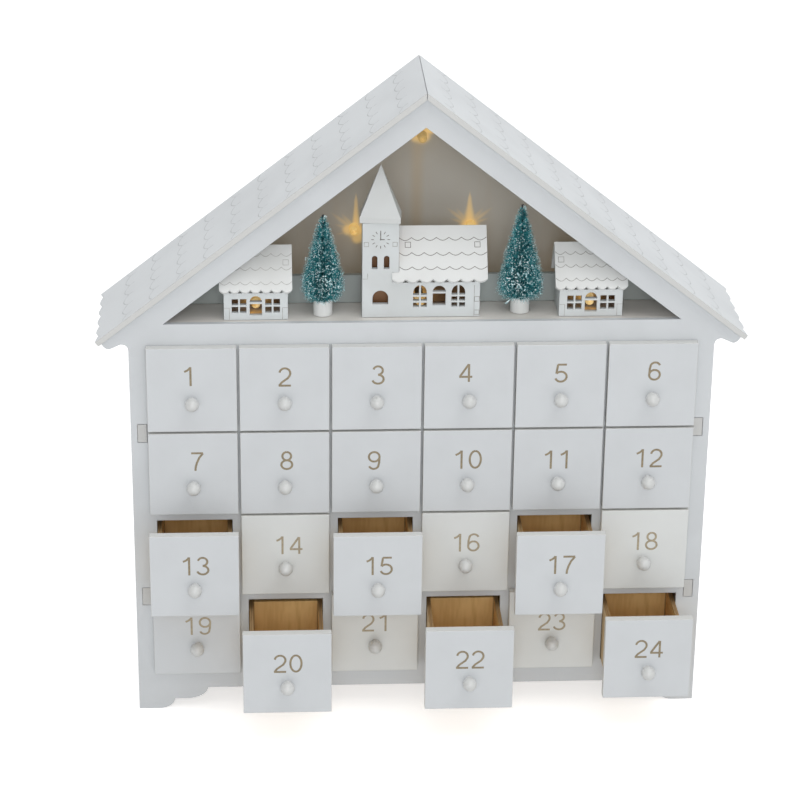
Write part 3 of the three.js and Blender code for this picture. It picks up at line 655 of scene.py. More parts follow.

# %% [markdown]
# ### Numerals
#
# The numbers are printed in a plain upright sans face with one stroke width. That makes them easy to
# draw without a font: each digit is one or two centre lines, and the ribbon helper gives them their
# width. A digit is drawn in a box 0.56 wide and 1 tall, widened a little, and then scaled to 11.4 mm.
# Where two lines of a digit cross they lie 0.02 mm apart, because faces in one plane would fight.
# They were put on by hand, so they don't all sit alike: most numbers have their own small shift to the side and up,
# and the rest share one.

# %% Centre lines of the ten digits
DIGITS = {
    "0": [arc(0.28, 0.5, 0.225, 0.455, 90, 450, 28)],
    "1": [[(0.115, 0.745), (0.215, 0.80), (0.31, 0.89), (0.352, 0.975)], [(0.36, 0.0), (0.36, 0.99)]],
    "2": [arc(0.28, 0.695, 0.215, 0.26, 172, -28, 12) + [(0.40, 0.44), (0.16, 0.22), (0.05, 0.045)],
          [(0.03, 0.045), (0.52, 0.045)]],
    "3": [arc(0.265, 0.735, 0.19, 0.22, 165, -90, 12), arc(0.265, 0.275, 0.225, 0.235, 90, -165, 14)],
    "4": [[(0.405, 0.0), (0.405, 0.94)], [(0.39, 0.93), (0.045, 0.285)], [(0.02, 0.27), (0.54, 0.27)]],
    "5": [[(0.49, 0.945), (0.135, 0.945)], [(0.14, 0.955), (0.08, 0.475)],
          arc(0.265, 0.31, 0.23, 0.265, 142, -160, 16)],
    "6": [arc(0.275, 0.30, 0.215, 0.258, 90, 450, 22),
          [(0.062, 0.34), (0.075, 0.62)] + arc(0.29, 0.70, 0.205, 0.255, 150, 25, 8)],
    "7": [[(0.04, 0.945), (0.515, 0.945)],
          [(0.51, 0.935), (0.36, 0.70), (0.26, 0.42), (0.21, 0.20), (0.195, 0.0)]],
    "8": [arc(0.275, 0.735, 0.175, 0.222, 90, 450, 20), arc(0.275, 0.275, 0.22, 0.237, 90, 450, 22)],
}
DIGITS["9"] = [[(0.55 - u, 1 - v) for u, v in line] for line in DIGITS["6"]]

fresh_print = two_tone("bronze_print", (0.268, 0.216, 0.136), (0.215, 0.175, 0.112), 700, high=0.62,
                       Roughness=0.5)
# Drawers 14, 16, 18, 19, 21 and 23, beside and under the open drawers, get their numerals in a paler bronze.
pale_print = two_tone("pale_bronze_print", (0.385, 0.325, 0.225), (0.320, 0.270, 0.190), 700, high=0.62,
                      Roughness=0.5)
PALE_PRINTS = (14, 16, 18, 19, 21, 23)

# %% Where each number sits: millimetres right of and above the front's middle
NUMBER_SPOTS = {
    1: (-1.5, 8.4), 2: (0.4, 7.5), 3: (0.9, 8.1), 4: (-1.8, 9.0), 5: (0.2, 8.0), 6: (1.2, 8.6),
    7: (2.4, 8.0), 8: (1.2, 7.9), 9: (-1.0, 7.2), 10: (0.2, 7.1), 11: (-0.5, 6.4), 12: (0.2, 6.5),
    14: (1.7, 6.2), 16: (0.4, 6.2), 18: (0.2, 5.5), 19: (0.4, 6.3), 21: (0.7, 6.7), 23: (0.3, 5.5),
}
USUAL_SPOT = (0.5, 6.5)
# Fronts that carry the painted warm reflection of the open trays beside or above them
REFLECTION_FRONTS = (14, 16, 18, 21, 23)
digit_height, digit_advance, stroke, widening = 11.4, 8.85, 1.2, 1.22

# %% Print a number on a drawer front
def numeral_mesh(number):
    text = str(number)
    aside, above = NUMBER_SPOTS.get(number, USUAL_SPOT)
    points, faces = [], []
    for i, digit in enumerate(text):
        left = aside + (i - len(text) / 2) * digit_advance
        for layer, line in enumerate(DIGITS[digit]):
            def place(u, v, left=left, out=0.04 + 0.02 * layer):
                return Vector((left + u * digit_height, -gap - front_board - out,
                               front_middle + above + (v - 0.5) * digit_height)) * MM
            ribbon(points, faces, [(0.035 + widening * u, v) for u, v in line], stroke / digit_height, place)
    ink = pale_print if number in PALE_PRINTS else fresh_print
    return build_mesh(f"numeral_{number:02d}", points, faces, ink.material)


# %% Put the 24 drawers in place
for number in range(1, 25):
    body = f"drawer_{number:02d}"
    low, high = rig.box(body)
    origin = Vector(((low.x + high.x) / 2, high.y - tray_length * MM, low.z - front_bottom * MM))
    board = front_meshes["drawer_front_warm" if number in REFLECTION_FRONTS else "drawer_front"]
    front = place_piece(f"{body}_front", board, body, "painted_board", origin)
    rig.replaces(front, body)
    for name, mesh in tray_meshes.items():
        place_piece(f"{body}_{name}", mesh, body, "bare_board", origin)
    place_piece(f"{body}_knob", knob_mesh, body, "painted_board", origin)
    place_piece(f"{body}_numeral", numeral_mesh(number), body, "painted_board", origin)
print("Drawers:", 24, "pieces each:", 3 + len(tray_meshes))

# %% [markdown]
# ## The village houses
#
# The houses are small versions of the same craft: 3 mm plywood, painted outside and bare inside. One
# finish does both: it is white near the outside of the building and bare wood inside a box. The box
# starts half a millimetre inside the side walls, and behind the front wall's own thickness, because the
# spray also coats the sills of the windows.

# %% White outside, bare inside
VILLAGE_WHITE = (0.588, 0.620, 0.628)
VILLAGE_THIN = (0.545, 0.566, 0.566)
# The spire's white is darker than the walls': painted shade on its sloping faces.
SPIRE_WHITE_SHADED = (0.560, 0.578, 0.576)
SPIRE_THIN_SHADED = (0.520, 0.531, 0.524)
BARE_INSIDE = (0.255, 0.125, 0.055)
# The village roofs and tree bases are painted lighter than the walls: a painted highlight for the light from above.
ROOF_WHITE_LIT = (0.715, 0.728, 0.722)
ROOF_WHITE_LIT_THIN = (0.655, 0.664, 0.652)
front_wall = 2.8


def inside_box(finish, low, high):
    inside = 1.0
    for axis, (a, b) in zip(finish.axes(), zip(low, high)):
        inside = finish.times(finish.math("GREATER_THAN", axis, a), inside)
        inside = finish.times(finish.math("LESS_THAN", axis, b), inside)
    return inside


def building_paint(node, skin=0.5):
    finish = Finish(f"{node}_paint")
    low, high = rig.box(node)
    inside = inside_box(finish, low + Vector((skin, front_wall, 0)) * MM, high + Vector((-skin, 9, 0)) * MM)
    white = paint_network(finish, VILLAGE_WHITE, VILLAGE_THIN, 0.2)
    finish.set(Base_Color=finish.mix(inside, white, BARE_INSIDE))
    dress(finish.material, node)


for node in ("left_house_walls", "right_house_walls", "church_walls"):
    building_paint(node)
# The spire takes its darker white, painted shade; the roofs and tree bases take their lighter one, a painted
# highlight.
spire_painted_shade = white_paint("spire_painted_shade", base=SPIRE_WHITE_SHADED, thin=SPIRE_THIN_SHADED, ease=0.2)
village_roof_painted_highlight = white_paint("village_roof_painted_highlight", base=ROOF_WHITE_LIT, thin=ROOF_WHITE_LIT_THIN, ease=0.2)
dress(village_roof_painted_highlight, "left_house_roof", "right_house_roof", "church_roof",
      "left_tree_base", "right_tree_base")
dress(spire_painted_shade, "church_spire")
print("Village painted")

# %% [markdown]
# ### Lines that the laser left
#
# The laser left scalloped courses across the roofs, square tenon ends, finger joints at the corners and
# the clock. Its lines are dark on the church, faint on the right house and faded on the left one's roof.
# Every line lies on one flat face, so each face gets a `place` function that turns a 2-D drawing into
# space.

# %% Faces to draw on
line_finish = two_tone("laser_line", (0.115, 0.105, 0.095), (0.20, 0.185, 0.17), 500, Roughness=0.8)
faint_finish = two_tone("faint_laser_line", (0.27, 0.265, 0.25), (0.40, 0.395, 0.38), 500, Roughness=0.8)
faded_finish = two_tone("faded_laser_line", (0.40, 0.40, 0.385), (0.50, 0.50, 0.485), 500, Roughness=0.8)
village_pitch = math.radians(54)


def slope_place(node, lift=0.04):
    low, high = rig.box(node)
    rise = Vector((0, math.cos(village_pitch), math.sin(village_pitch)))
    out = Vector((0, -math.sin(village_pitch), math.cos(village_pitch)))
    eave = Vector((0, low.y, 0))
    eave.z = high.z - (ridge_y(node) - low.y) * math.tan(village_pitch)
    return lambda x, up_slope: eave + Vector((x * MM, 0, 0)) + rise * up_slope * MM + out * lift * MM


def ridge_y(node):
    mesh = frame["nodes"][node].data
    return max(mesh.vertices, key=lambda v: round(v.co.z, 7)).co.y


def wall_place(depth, lift=0.04):
    return lambda x, z: at(x, depth - lift, z)


def score_lines(name, lines, place, width=0.34, closed=False, finish=line_finish):
    points, faces = [], []
    for line in lines:
        ribbon(points, faces, line, width, place, closed)
    return piece(name, points, faces, finish.material, "case", "painted_board")


# %% Scalloped courses and tenon ends on the three roofs
def courses(left, right, rows, count=7, sag=1.7):
    pitch = (right - left) / count
    lines = []
    for up_slope in rows:
        lines.append([(left + pitch * i / 6, up_slope + sag * (1 - math.sin(math.pi * (i % 6) / 6)))
                      for i in range(6 * count + 1)])
    return lines


def square(x, y, side=3.0):
    return [(x - side / 2, y - side / 2), (x + side / 2, y - side / 2),
            (x + side / 2, y + side / 2), (x - side / 2, y + side / 2)]


for node, rows, tenons in (("left_house_roof", (4.4, 12.6, 20.4), ((-75.5, 17.0), (-108.7, 17.0))),
                           ("right_house_roof", (4.6, 12.4, 19.8), ((76.6, 17.0), (109.8, 17.0))),
                           ("church_roof", (6.9, 15.0, 23.6), ((-8.1, 21.2), (30.3, 21.1)))):
    ink = {"church_roof": line_finish, "left_house_roof": faded_finish}.get(node, faint_finish)
    low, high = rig.box(node)
    left, right_end = low.x / MM + 0.2, high.x / MM - 0.2
    if node == "church_roof":
        left += 4.0
    place = slope_place(node)
    score_lines(f"{node}_courses", courses(left, right_end, rows), place, finish=ink)
    score_lines(f"{node}_tenons", [square(*t) for t in tenons], place, 0.3, closed=True, finish=ink)
    print(node, "courses at", rows, "mm up the slope")

# %% Clock, finger joints and tenon ends on the walls
church_depth, left_depth, right_depth = 7.0, 5.0, 5.7
clock = Vector((-23.6, 287.6))
ticks = []
for hour in range(12):
    ray = Vector((math.sin(hour * math.tau / 12), math.cos(hour * math.tau / 12)))
    ticks.append([clock + ray * 3.7, clock + ray * 5.2])
hands = [[clock - Vector((0, 0.4)), clock + Vector((0, 4.0))],
         [clock - Vector((0.4, 0)), clock + Vector((2.2, 0))]]
score_lines("church_clock_ticks", ticks, wall_place(church_depth), 0.4)
score_lines("church_clock_hands", hands, wall_place(church_depth, 0.06), 0.5)
score_lines("church_tenon_marks",
            [square(-31.4, 284.8, 2.4), square(-15.7, 284.8, 2.4),
             square(29.9, 252.3, 2.8), square(29.9, 244.3, 2.8)],
            wall_place(church_depth), 0.3, closed=True, finish=faint_finish)
score_lines("church_joint_marks",
            [[(-33.3, 264.6), (-30.6, 264.6), (-30.6, 267.8)], [(28.4, 242.2), (28.4, 260.5)]],
            wall_place(church_depth), 0.25, finish=faint_finish)
for name, x, side, depth in (("left_house_marks_a", -109.6, 1, left_depth),
                             ("left_house_marks_b", -74.6, -1, left_depth),
                             ("right_house_marks_a", 75.7, 1, right_depth),
                             ("right_house_marks_b", 110.7, -1, right_depth)):
    corner = [(x, 249.0), (x + 2.9 * side, 249.0), (x + 2.9 * side, 242.2)]
    score_lines(name, [corner], wall_place(depth), 0.26, finish=faint_finish)
print("Clock and joint marks drawn")

# %% [markdown]
# ## Inside the gable
#
# Behind the village the back panel and the wiring rail are painted white by hand, like the case. Both lie in
# shade under the roof, and that shade is painted into their colour: grey on the panel's inner face, darker
# towards the ridge, and a darker grey on the rail. The star lamps throw light on the panel: a pool around
# the bulb, a tall spike that narrows to a point, and a fan of short faint rays. On the real thing it is light on
# paint, so here the same drawing warms the colour and gives it a weak glow. The pool is a fall-off with
# distance in a wide halo, the spike is a width that shrinks with height, and the rays are polar: a ray's
# reach depends on its angle.

# %% Distances from a lamp, measured on the board
# These greys are painted shade on the back panel's inner face, which lies under the roof.
PAINTED_SHADE_GREY = (0.515, 0.533, 0.530)
PAINTED_SHADE_GREY_DARK = (0.467, 0.478, 0.472)
PAINTED_SHADE_GREY_RIDGE = (0.355, 0.362, 0.356)
LIT_GOLD = (0.66, 0.50, 0.25)
RAIL_BARE = (0.33, 0.20, 0.10)


def lamp_distances(finish, x, z):
    px, _, pz = finish.axes()
    aside = finish.apart(px, x * MM)
    above = finish.minus(pz, z * MM)
    return aside, above, finish.length(aside, above)


# %% Spike: its width shrinks with the square of what is left of its height
def light_spike(finish, aside, above, height, width):
    left_over = finish.minus(1, finish.math("DIVIDE", above, height * MM))
    left_over = finish.larger(finish.math("MINIMUM", left_over, 1), 0)
    across = finish.times(finish.times(left_over, left_over), width * MM)
    across = finish.plus(across, finish.times(finish.ramp(left_over, 0.0, 0.25), 1.6 * MM))
    body = finish.minus(1, finish.math("DIVIDE", aside, finish.plus(across, 0.02 * MM)))
    body = finish.ramp(body, 0.0, 0.9)
    strength = finish.plus(finish.times(left_over, 0.55), 0.32)
    body = finish.times(body, strength)
    return finish.times(body, finish.math("GREATER_THAN", above, -1 * MM))


# %% Rays: a list of reaches around the half turn, mirrored to the other side
RAY_REACHES = ((0.0, 0.30), (0.08, 0.15), (0.30, 0.15), (0.38, 0.2), (0.44, 0.55), (0.49, 0.3), (0.55, 0.32),
               (0.60, 0.6), (0.65, 0.36), (0.71, 0.85), (0.75, 0.5), (0.79, 0.62), (0.86, 0.3), (1.0, 0.3))


def light_rays(finish, aside, above, radius, reach):
    turn = finish.plus(finish.math("DIVIDE", finish.math("ARCTAN2", above, aside), math.pi), 0.5)
    rays = finish.nodes.new("ShaderNodeValToRGB")
    finish.links.new(turn, rays.inputs[0])
    stops = rays.color_ramp.elements
    for where, size in RAY_REACHES:
        stop = stops.new(where) if 0 < where < 1 else stops[0 if where == 0 else -1]
        stop.color = (size, size, size, 1)
    far = finish.times(finish.plus(rays.outputs[0], 0.02), reach * MM)
    light = finish.larger(finish.minus(1, finish.math("DIVIDE", radius, far)), 0)
    return finish.times(finish.math("POWER", light, 0.7), 0.52)


def lamp_light(finish, x, z, pool, spike, width, reach, lobes=()):
    aside, above, radius = lamp_distances(finish, x, z)
    halo = finish.math("EXPONENT", finish.math("DIVIDE", radius, -9 * MM))
    light = finish.times(halo, 0.15)
    for lobe_x, lobe_z, size, strength in ((0, 0, pool, 0.85), *lobes):
        spot = lamp_distances(finish, x + lobe_x, z + lobe_z)[2]
        patch = finish.ramp(spot, 0.3 * size * MM, 1.15 * size * MM, strength, 0)
        light = finish.math("SMOOTH_MAX", light, patch, 0.25)
    if spike:
        light = finish.larger(light, light_spike(finish, aside, above, spike, width))
    if reach:
        light = finish.larger(light, light_rays(finish, aside, above, radius, reach))
    return light


# %% Painted shade in grey on the back panel's inner face, warmed where the lamps light it
def grey_paint(name, lights, streak_x):
    finish = Finish(name)
    clouds = finish.ramp(finish.noise(16, 4, (1, 1, 0.5)), 0.4, 0.65)
    streaks = finish.ramp(finish.noise(90, 4, (1, 1, 0.12)), 0.45, 0.75)
    inner_face = finish.math("LESS_THAN", finish.axes()[1], at(0, 66.5, 0).y)
    colour = finish.mix(clouds, PAINTED_SHADE_GREY, PAINTED_SHADE_GREY_DARK)
    # Darker towards the ridge: painted shade under the roof.
    ridge = finish.ramp(finish.axes()[2], 275 * MM, 330 * MM, 0, 0.8)
    colour = finish.mix(ridge, colour, PAINTED_SHADE_GREY_RIDGE)
    colour = finish.mix(finish.times(streaks, 0.22), colour, (0.46, 0.39, 0.33))
    from_streak = finish.apart(finish.axes()[0], streak_x * MM)
    colour = finish.mix(finish.ramp(from_streak, 0, 6 * MM, 0.5, 0), colour, (0.47, 0.38, 0.27))
    outside = finish.mix(finish.times(clouds, 0.4), PAINT, PAINT_THIN)
    colour = finish.mix(inner_face, outside, colour)
    glow = 0.0
    for light in lights:
        glow = finish.larger(lamp_light(finish, *light), glow)
    glow = finish.times(glow, inner_face)
    finish.set(Base_Color=finish.mix(glow, colour, LIT_GOLD), Roughness=0.7)
    finish.set(Normal=finish.bump(finish.noise(700, 2), 0.00006, 0.5))
    finish.set(Emission_Color=(1.0, 0.62, 0.17), Emission_Strength=finish.times(glow, 0.46))
    return finish.material


# %% The three lights: place, pool, spike height and width, reach of the rays
left_light = (-34.8, 271.3, 6.0, 23.5, 3.0, 24, ((-4.2, 0.8, 4.6, 0.72), (0.8, -4.4, 4.4, 0.66)))
right_light = (29.8, 274.6, 6.5, 20.5, 5.6, 22)
apex_light = (2.0, 328.2, 6.5, 0, 0, 0, ((4.2, 3.4, 4.5, 0.9), (-3.2, -1.6, 4.0, 0.6)))
dress(grey_paint("back_panel_painted_shade", (left_light, right_light, apex_light), -0.5), "back_panel")


# %% The rail: grey with painted shade in the open, bare and lit amber inside the buildings
house_bulbs = ("left_house_bulb", "church_bulb", "right_house_bulb")
rail_finish = Finish("rail_paint")
rail_x = rail_finish.axes()[0]
bare, glow = 0.0, 0.0
for walls in ("left_house_walls", "church_walls", "right_house_walls"):
    low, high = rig.box(walls)
    within = rail_finish.times(rail_finish.math("GREATER_THAN", rail_x, low.x + 2 * MM),
                               rail_finish.math("LESS_THAN", rail_x, high.x - 2 * MM))
    bare = rail_finish.larger(within, bare)
for node in house_bulbs:
    middle = sum(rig.box(node), Vector()) / 2 / MM
    radius = lamp_distances(rail_finish, middle.x, middle.z - 3)[2]
    glow = rail_finish.larger(rail_finish.ramp(radius, 1 * MM, 12 * MM, 1, 0), glow)
mottled = rail_finish.ramp(rail_finish.noise(260, 3), 0.38, 0.62, 0.45, 1)
glow = rail_finish.times(rail_finish.times(glow, bare), mottled)
# The rail's coat is white paint darkened to grey: painted shade under the roof.
rail_shaded_coat = paint_network(rail_finish, (0.360, 0.398, 0.390), (0.325, 0.350, 0.338))
rail_finish.set(Base_Color=rail_finish.mix(glow, rail_finish.mix(bare, rail_shaded_coat, RAIL_BARE), LIT_GOLD))
rail_finish.set(Emission_Color=(1.0, 0.52, 0.12), Emission_Strength=rail_finish.times(glow, 0.32))
dress(rail_finish.material, "wiring_rail")

# %% The village floor: painted, and lit amber under the lamps in the buildings
def floor_glow(finish, reach=9.0):
    px, py, _ = finish.axes()
    glow = 0.0
    for node in house_bulbs:
        low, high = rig.box(node)
        aside = finish.minus(px, (low.x + high.x) / 2)
        behind = finish.minus(py, low.y + 5 * MM)
        pool = finish.ramp(finish.length(aside, behind), 2 * MM, reach * MM, 1, 0)
        glow = finish.larger(pool, glow)
    return finish.times(glow, finish.ramp(finish.noise(260, 3), 0.38, 0.62, 0.45, 1))


floor_coat = Finish("floor_paint")
lit = floor_glow(floor_coat)
# The floor's paint is lighter and a little warmer than the case's white: a painted highlight that lifts the shade
# under the roof.
floor_colour_with_highlight = paint_network(floor_coat, (0.74, 0.715, 0.68), (0.65, 0.62, 0.58))
floor_coat.set(Base_Color=floor_coat.mix(lit, floor_colour_with_highlight, LIT_GOLD))
floor_coat.set(Emission_Color=(1.0, 0.50, 0.12), Emission_Strength=floor_coat.times(lit, 0.40))
dress(floor_coat.material, "village_floor")
print("Lights at", left_light[:2], right_light[:2], apex_light[:2])

# %% [markdown]
# ## Lamps
#
# The lamps are small amber light-emitting diodes: a dished lens on a flange, and a dark sleeve over the
# leads. The lens is clear resin that glows from inside. A glass shader would mostly show its
# surroundings at this size, so the resin is an emitting, slightly glossy surface with darker swirls.
# The lamp under the ridge gets a dimmer resin than the others.

# %% Build a lamp from two spun profiles
def amber_resin(name, dark, bright, strength, roughness=0.2):
    finish = Finish(name)
    finish.set(Base_Color=(0.60, 0.40, 0.14), Roughness=roughness)
    swirls = finish.ramp(finish.noise(430, 3), 0.40, 0.60)
    finish.set(Emission_Color=finish.mix(swirls, dark, bright), Emission_Strength=strength)
    return finish.material


bright_resin = amber_resin("amber_resin", (0.62, 0.33, 0.07), (1.0, 0.78, 0.40), 0.42)
star_resin = amber_resin("star_resin", (0.98, 0.60, 0.19), (1.0, 0.68, 0.25), 0.50, 0.6)
dim_resin = amber_resin("dim_amber_resin", (0.80, 0.54, 0.20), (0.90, 0.62, 0.26), 0.26, 0.6)
sleeve_finish = two_tone("lamp_sleeve", (0.06, 0.05, 0.045), (0.10, 0.085, 0.07), 600, Roughness=0.55)


resin_length = 8.6


def lamp(name, foot, length, resin_finish):
    shoulder = length - resin_length

    def place(a, b, h):
        return foot + Vector((a, -h, b)) * MM
    sleeve = [(0.01, 0.0), (1.9, 0.0), (2.15, 0.3), (2.2, shoulder - 0.4), (2.0, shoulder)]
    rounded = arc(0, length - 2.6, 2.5, 2.2, 0, 58, 6)
    resin = [(0.01, shoulder), (2.85, shoulder), (2.9, shoulder + 0.3), (2.85, shoulder + 0.9)]
    resin += [(2.5, shoulder + 1.0)] + rounded
    resin += [(1.1, length - 0.9), (0.5, length - 1.5), (0.01, length - 1.75)]
    if shoulder > 1:
        tube = spun(f"{name}_sleeve", sleeve, place, 20, sleeve_finish.material)
        place_piece(f"{name}_sleeve", tube, "case", "lamp")
    return place_piece(f"{name}_lens", spun(f"{name}_lens", resin, place, 24, resin_finish), "case", "lamp")


for node in (*house_bulbs, "left_star_bulb", "right_star_bulb"):
    low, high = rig.box(node)
    middle = (low + high) / 2
    resin = bright_resin if node in house_bulbs else star_resin
    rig.replaces(lamp(node, Vector((middle.x, high.y, middle.z)), (high.y - low.y) / MM, resin), node)
print("Lamps built")

# %% A sixth lamp, glued on under the ridge
lamp("apex_bulb", at(apex_light[0], 65.6, apex_light[1]), 9.0, dim_resin)
print("Apex lamp at", apex_light[:2])

# %% [markdown]
# ## Bottle-brush trees
#
# A bottle-brush tree is a twisted wire that grips hundreds of bristles, trimmed to a cone, with white
# flock glued to the tips for snow. So it is made the same way here: bristles leave the wire in a spiral,
# each as long as the cone allows, a little upwards, and flock sits on some of the tips. Random
# numbers come from a fixed seed, so the tree grows the same each time.

# %% Needles and flock
needle_finish = Finish("teal_needles")
clumps = needle_finish.ramp(needle_finish.noise(420, 3), 0.40, 0.60)
streaks = needle_finish.ramp(needle_finish.noise(1300, 2), 0.54, 0.66)
needle_colour = needle_finish.mix(clumps, (0.005, 0.092, 0.112), (0.045, 0.345, 0.380))
needle_colour = needle_finish.mix(needle_finish.times(streaks, 0.8), needle_colour,
                                  (0.26, 0.68, 0.72))
needle_finish.set(Base_Color=needle_colour, Roughness=0.45)
flock_finish = two_tone("white_flock", (0.80, 0.92, 0.93), (0.42, 0.72, 0.76), 800, detail=2, Roughness=0.9)
wire_finish = two_tone("twisted_wire", (0.05, 0.055, 0.06), (0.12, 0.12, 0.12), 900, Roughness=0.4,
                       Metallic=0.8)


def needle(points, faces, root, tip, thickness):
    along = (tip - root).normalized()
    side = along.cross(Vector((0, 0, 1))).normalized() * thickness
    above = along.cross(side).normalized() * thickness
    start = len(points)
    points += [root + side, root - side * 0.5 + above, root - side * 0.5 - above, tip]
    faces += [(start, start + 1, start + 3), (start + 1, start + 2, start + 3), (start + 2, start, start + 3)]


def tuft(points, faces, middle, size, dice):
    start = len(points)
    for direction in ((1, 0, 0), (-1, 0, 0), (0, 1, 0), (0, -1, 0), (0, 0, 1), (0, 0, -1)):
        points.append(middle + Vector(direction) * size * dice.uniform(0.5, 1.2))
    for a, b, c in ((0, 2, 4), (2, 1, 4), (1, 3, 4), (3, 0, 4), (2, 0, 5), (1, 2, 5), (3, 1, 5), (0, 3, 5)):
        faces.append((start + a, start + b, start + c))


# %% Grow a tree in the place of its CAD node
clear_stem = 1.2


def brush_tree(node, base_top, widest, radius, needles, seed, patches):
    dice = random.Random(seed)
    low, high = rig.box(node)
    middle = (low + high) / 2
    tip = high.z
    bottom = base_top + clear_stem * MM
    broad = bottom + widest * MM
    green, green_faces, snow, snow_faces = [], [], [], []
    for i in range(needles):
        share = (i + dice.random()) / needles
        z = bottom + (tip - bottom) * (1 - math.sqrt(1 - share * 0.998))
        if z < broad:
            reach = radius * (0.76 + 0.24 * math.sin(math.pi / 2 * (z - bottom) / (broad - bottom)))
        else:
            reach = radius * ((tip - z) / (tip - broad)) ** 0.82 + 1.0
        reach *= dice.uniform(0.90, 1.03) * dice.choice((1.0, 1.0, 0.75))
        angle = i * 2.39996 + dice.uniform(-0.5, 0.5)
        out = Vector((math.cos(angle), math.sin(angle), dice.uniform(-0.3, 0.4)))
        root = Vector((middle.x, middle.y, z))
        end = root + out * reach * MM
        needle(green, green_faces, root + out * 0.5 * MM, end, 0.21 * MM)
        if dice.random() < 0.3:
            back = dice.uniform(0.0, 0.14) * reach
            tuft(snow, snow_faces, end - out * back * MM, dice.uniform(0.14, 0.40) * MM, dice)
    for i in range(30):
        angle = dice.uniform(-2.6, -0.6)
        z = dice.uniform(0.10, 0.45) * (tip - bottom) + bottom
        reach = radius * ((tip - max(z, broad)) / (tip - broad)) ** 0.88
        spot = Vector((middle.x + math.cos(angle) * reach * MM, middle.y + math.sin(angle) * reach * MM, z))
        tuft(snow, snow_faces, spot, dice.uniform(0.3, 0.6) * MM, dice)
    for i in range(16):
        aside = Vector((dice.uniform(0.3, 2.0), dice.uniform(-1.4, -0.2), dice.uniform(-3.0, -0.9))) * MM
        tuft(snow, snow_faces, Vector((middle.x, middle.y, tip)) + aside, dice.uniform(0.30, 0.50) * MM, dice)
    for x, share in patches:
        front = math.sqrt(max(1, (radius * (1 - share)) ** 2 - x ** 2))
        for i in range(6):
            spot = Vector((x + dice.uniform(-1.1, 1.1), -front, dice.uniform(-1.3, 1.3))) * MM
            spot += Vector((middle.x, middle.y, bottom + share * (tip - bottom)))
            tuft(snow, snow_faces, spot, dice.uniform(0.4, 0.7) * MM, dice)
    if node == "right_tree":
        stray = Vector((middle.x - 5.6 * MM, middle.y - 4 * MM, base_top - 0.4 * MM))
        for spread in (-0.5, 0.0, 0.4):
            end = stray + Vector((-3.6 - spread, -0.8, -3.2 + spread)) * MM
            needle(snow, snow_faces, stray, end, 0.3 * MM)
    leaves = piece(f"{node}_needles", green, green_faces, needle_finish.material, "case", "bristle")
    piece(f"{node}_flock", snow, snow_faces, flock_finish.material, "case", "bristle")
    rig.replaces(leaves, node)
    return middle, tip


def twisted_wire(node, middle, bottom, top):
    points, faces = [], []
    rows = 60
    for strand in range(2):
        start = len(points)
        for i in range(rows + 1):
            turn = math.pi * strand + i * 0.9
            z = bottom + (top - bottom) * i / rows
            cx, cy = middle.x + 0.4 * MM * math.cos(turn), middle.y + 0.4 * MM * math.sin(turn)
            for k in range(5):
                a = math.tau * k / 5
                points.append((cx + 0.42 * MM * math.cos(a), cy + 0.42 * MM * math.sin(a), z))
        faces += tube_faces(rows, 5, start)
        faces.append(tuple(start + 5 * rows + k for k in range(5)))
    piece(f"{node}_wire", points, faces, wire_finish.material, "case", "bristle", smooth=True)


left_patches = ((0.6, 0.29), (2.6, 0.26), (3.9, 0.23))
right_patches = ((-4.6, 0.32), (-0.8, 0.40), (-3.0, 0.27), (1.8, 0.27), (-7.4, 0.22), (-5.0, 0.19),
                 (-2.0, 0.17))
needle_count = 8600
for node, widest, radius, seed, patches in (("left_tree", 5.6, 12.3, 3, left_patches),
                                            ("right_tree", 3.2, 13.2, 8, right_patches)):
    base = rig.box(f"{node}_base")[1].z
    middle, tip = brush_tree(node, base, widest, radius, needle_count, seed, patches)
    twisted_wire(node, middle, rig.box(node)[0].z, tip - 0.6 * MM)
    print(node, "tip at", round(tip / MM, 1), "mm")

# %% [markdown]
# ## Battery holder
#
# On the back a plastic holder takes two cells, with a hinged cover and a small slide switch. Moulded
# plastic has a fine even texture from its mould, so a small-scale noise in the bump is enough.

# %% Moulded plastic
plastic = two_tone("moulded_plastic", (0.66, 0.66, 0.64), (0.62, 0.62, 0.60), 40, Roughness=0.42)
plastic.set(Normal=plastic.bump(plastic.noise(2600, 2), 0.00004, 0.6, plastic.eased(0.3)))
dress(plastic.material, "battery_box", "battery_cover")
switch_finish = two_tone("switch_plastic", (0.03, 0.03, 0.032), (0.05, 0.05, 0.052), 300, Roughness=0.45)
switch_finish.set(Normal=switch_finish.eased(0.25))
dress(switch_finish.material, "battery_switch")
print("Battery holder finished")

# %% [markdown]
# ### Battery contacts
#
# Two cells lie side by side in the bay, one each way round. Each cell has a conical coil spring at its
# negative end and a plate with a raised button at the other. A spring is a tube bent along a helix whose
# radius shrinks towards the cell.

# %% Bend a wire along a line and stamp a contact plate
contact_finish = two_tone("nickel_contact", (0.56, 0.55, 0.52), (0.46, 0.45, 0.42), 500, Metallic=1.0,
                          Roughness=0.32)
cover_low, cover_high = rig.box("battery_cover")
holder_low, holder_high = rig.box("battery_box")
hinge_lug, holder_wall, cell_play = 0.9, 1.5, 0.4
bay_left, bay_right = cover_low.x / MM + hinge_lug, cover_high.x / MM - hinge_lug
bay_middle_z = (holder_low.z + holder_high.z) / 2 / MM
cell_radius = 5.25
cell_depth = (holder_low.y - panel_face) / MM + holder_wall + cell_radius + cell_play


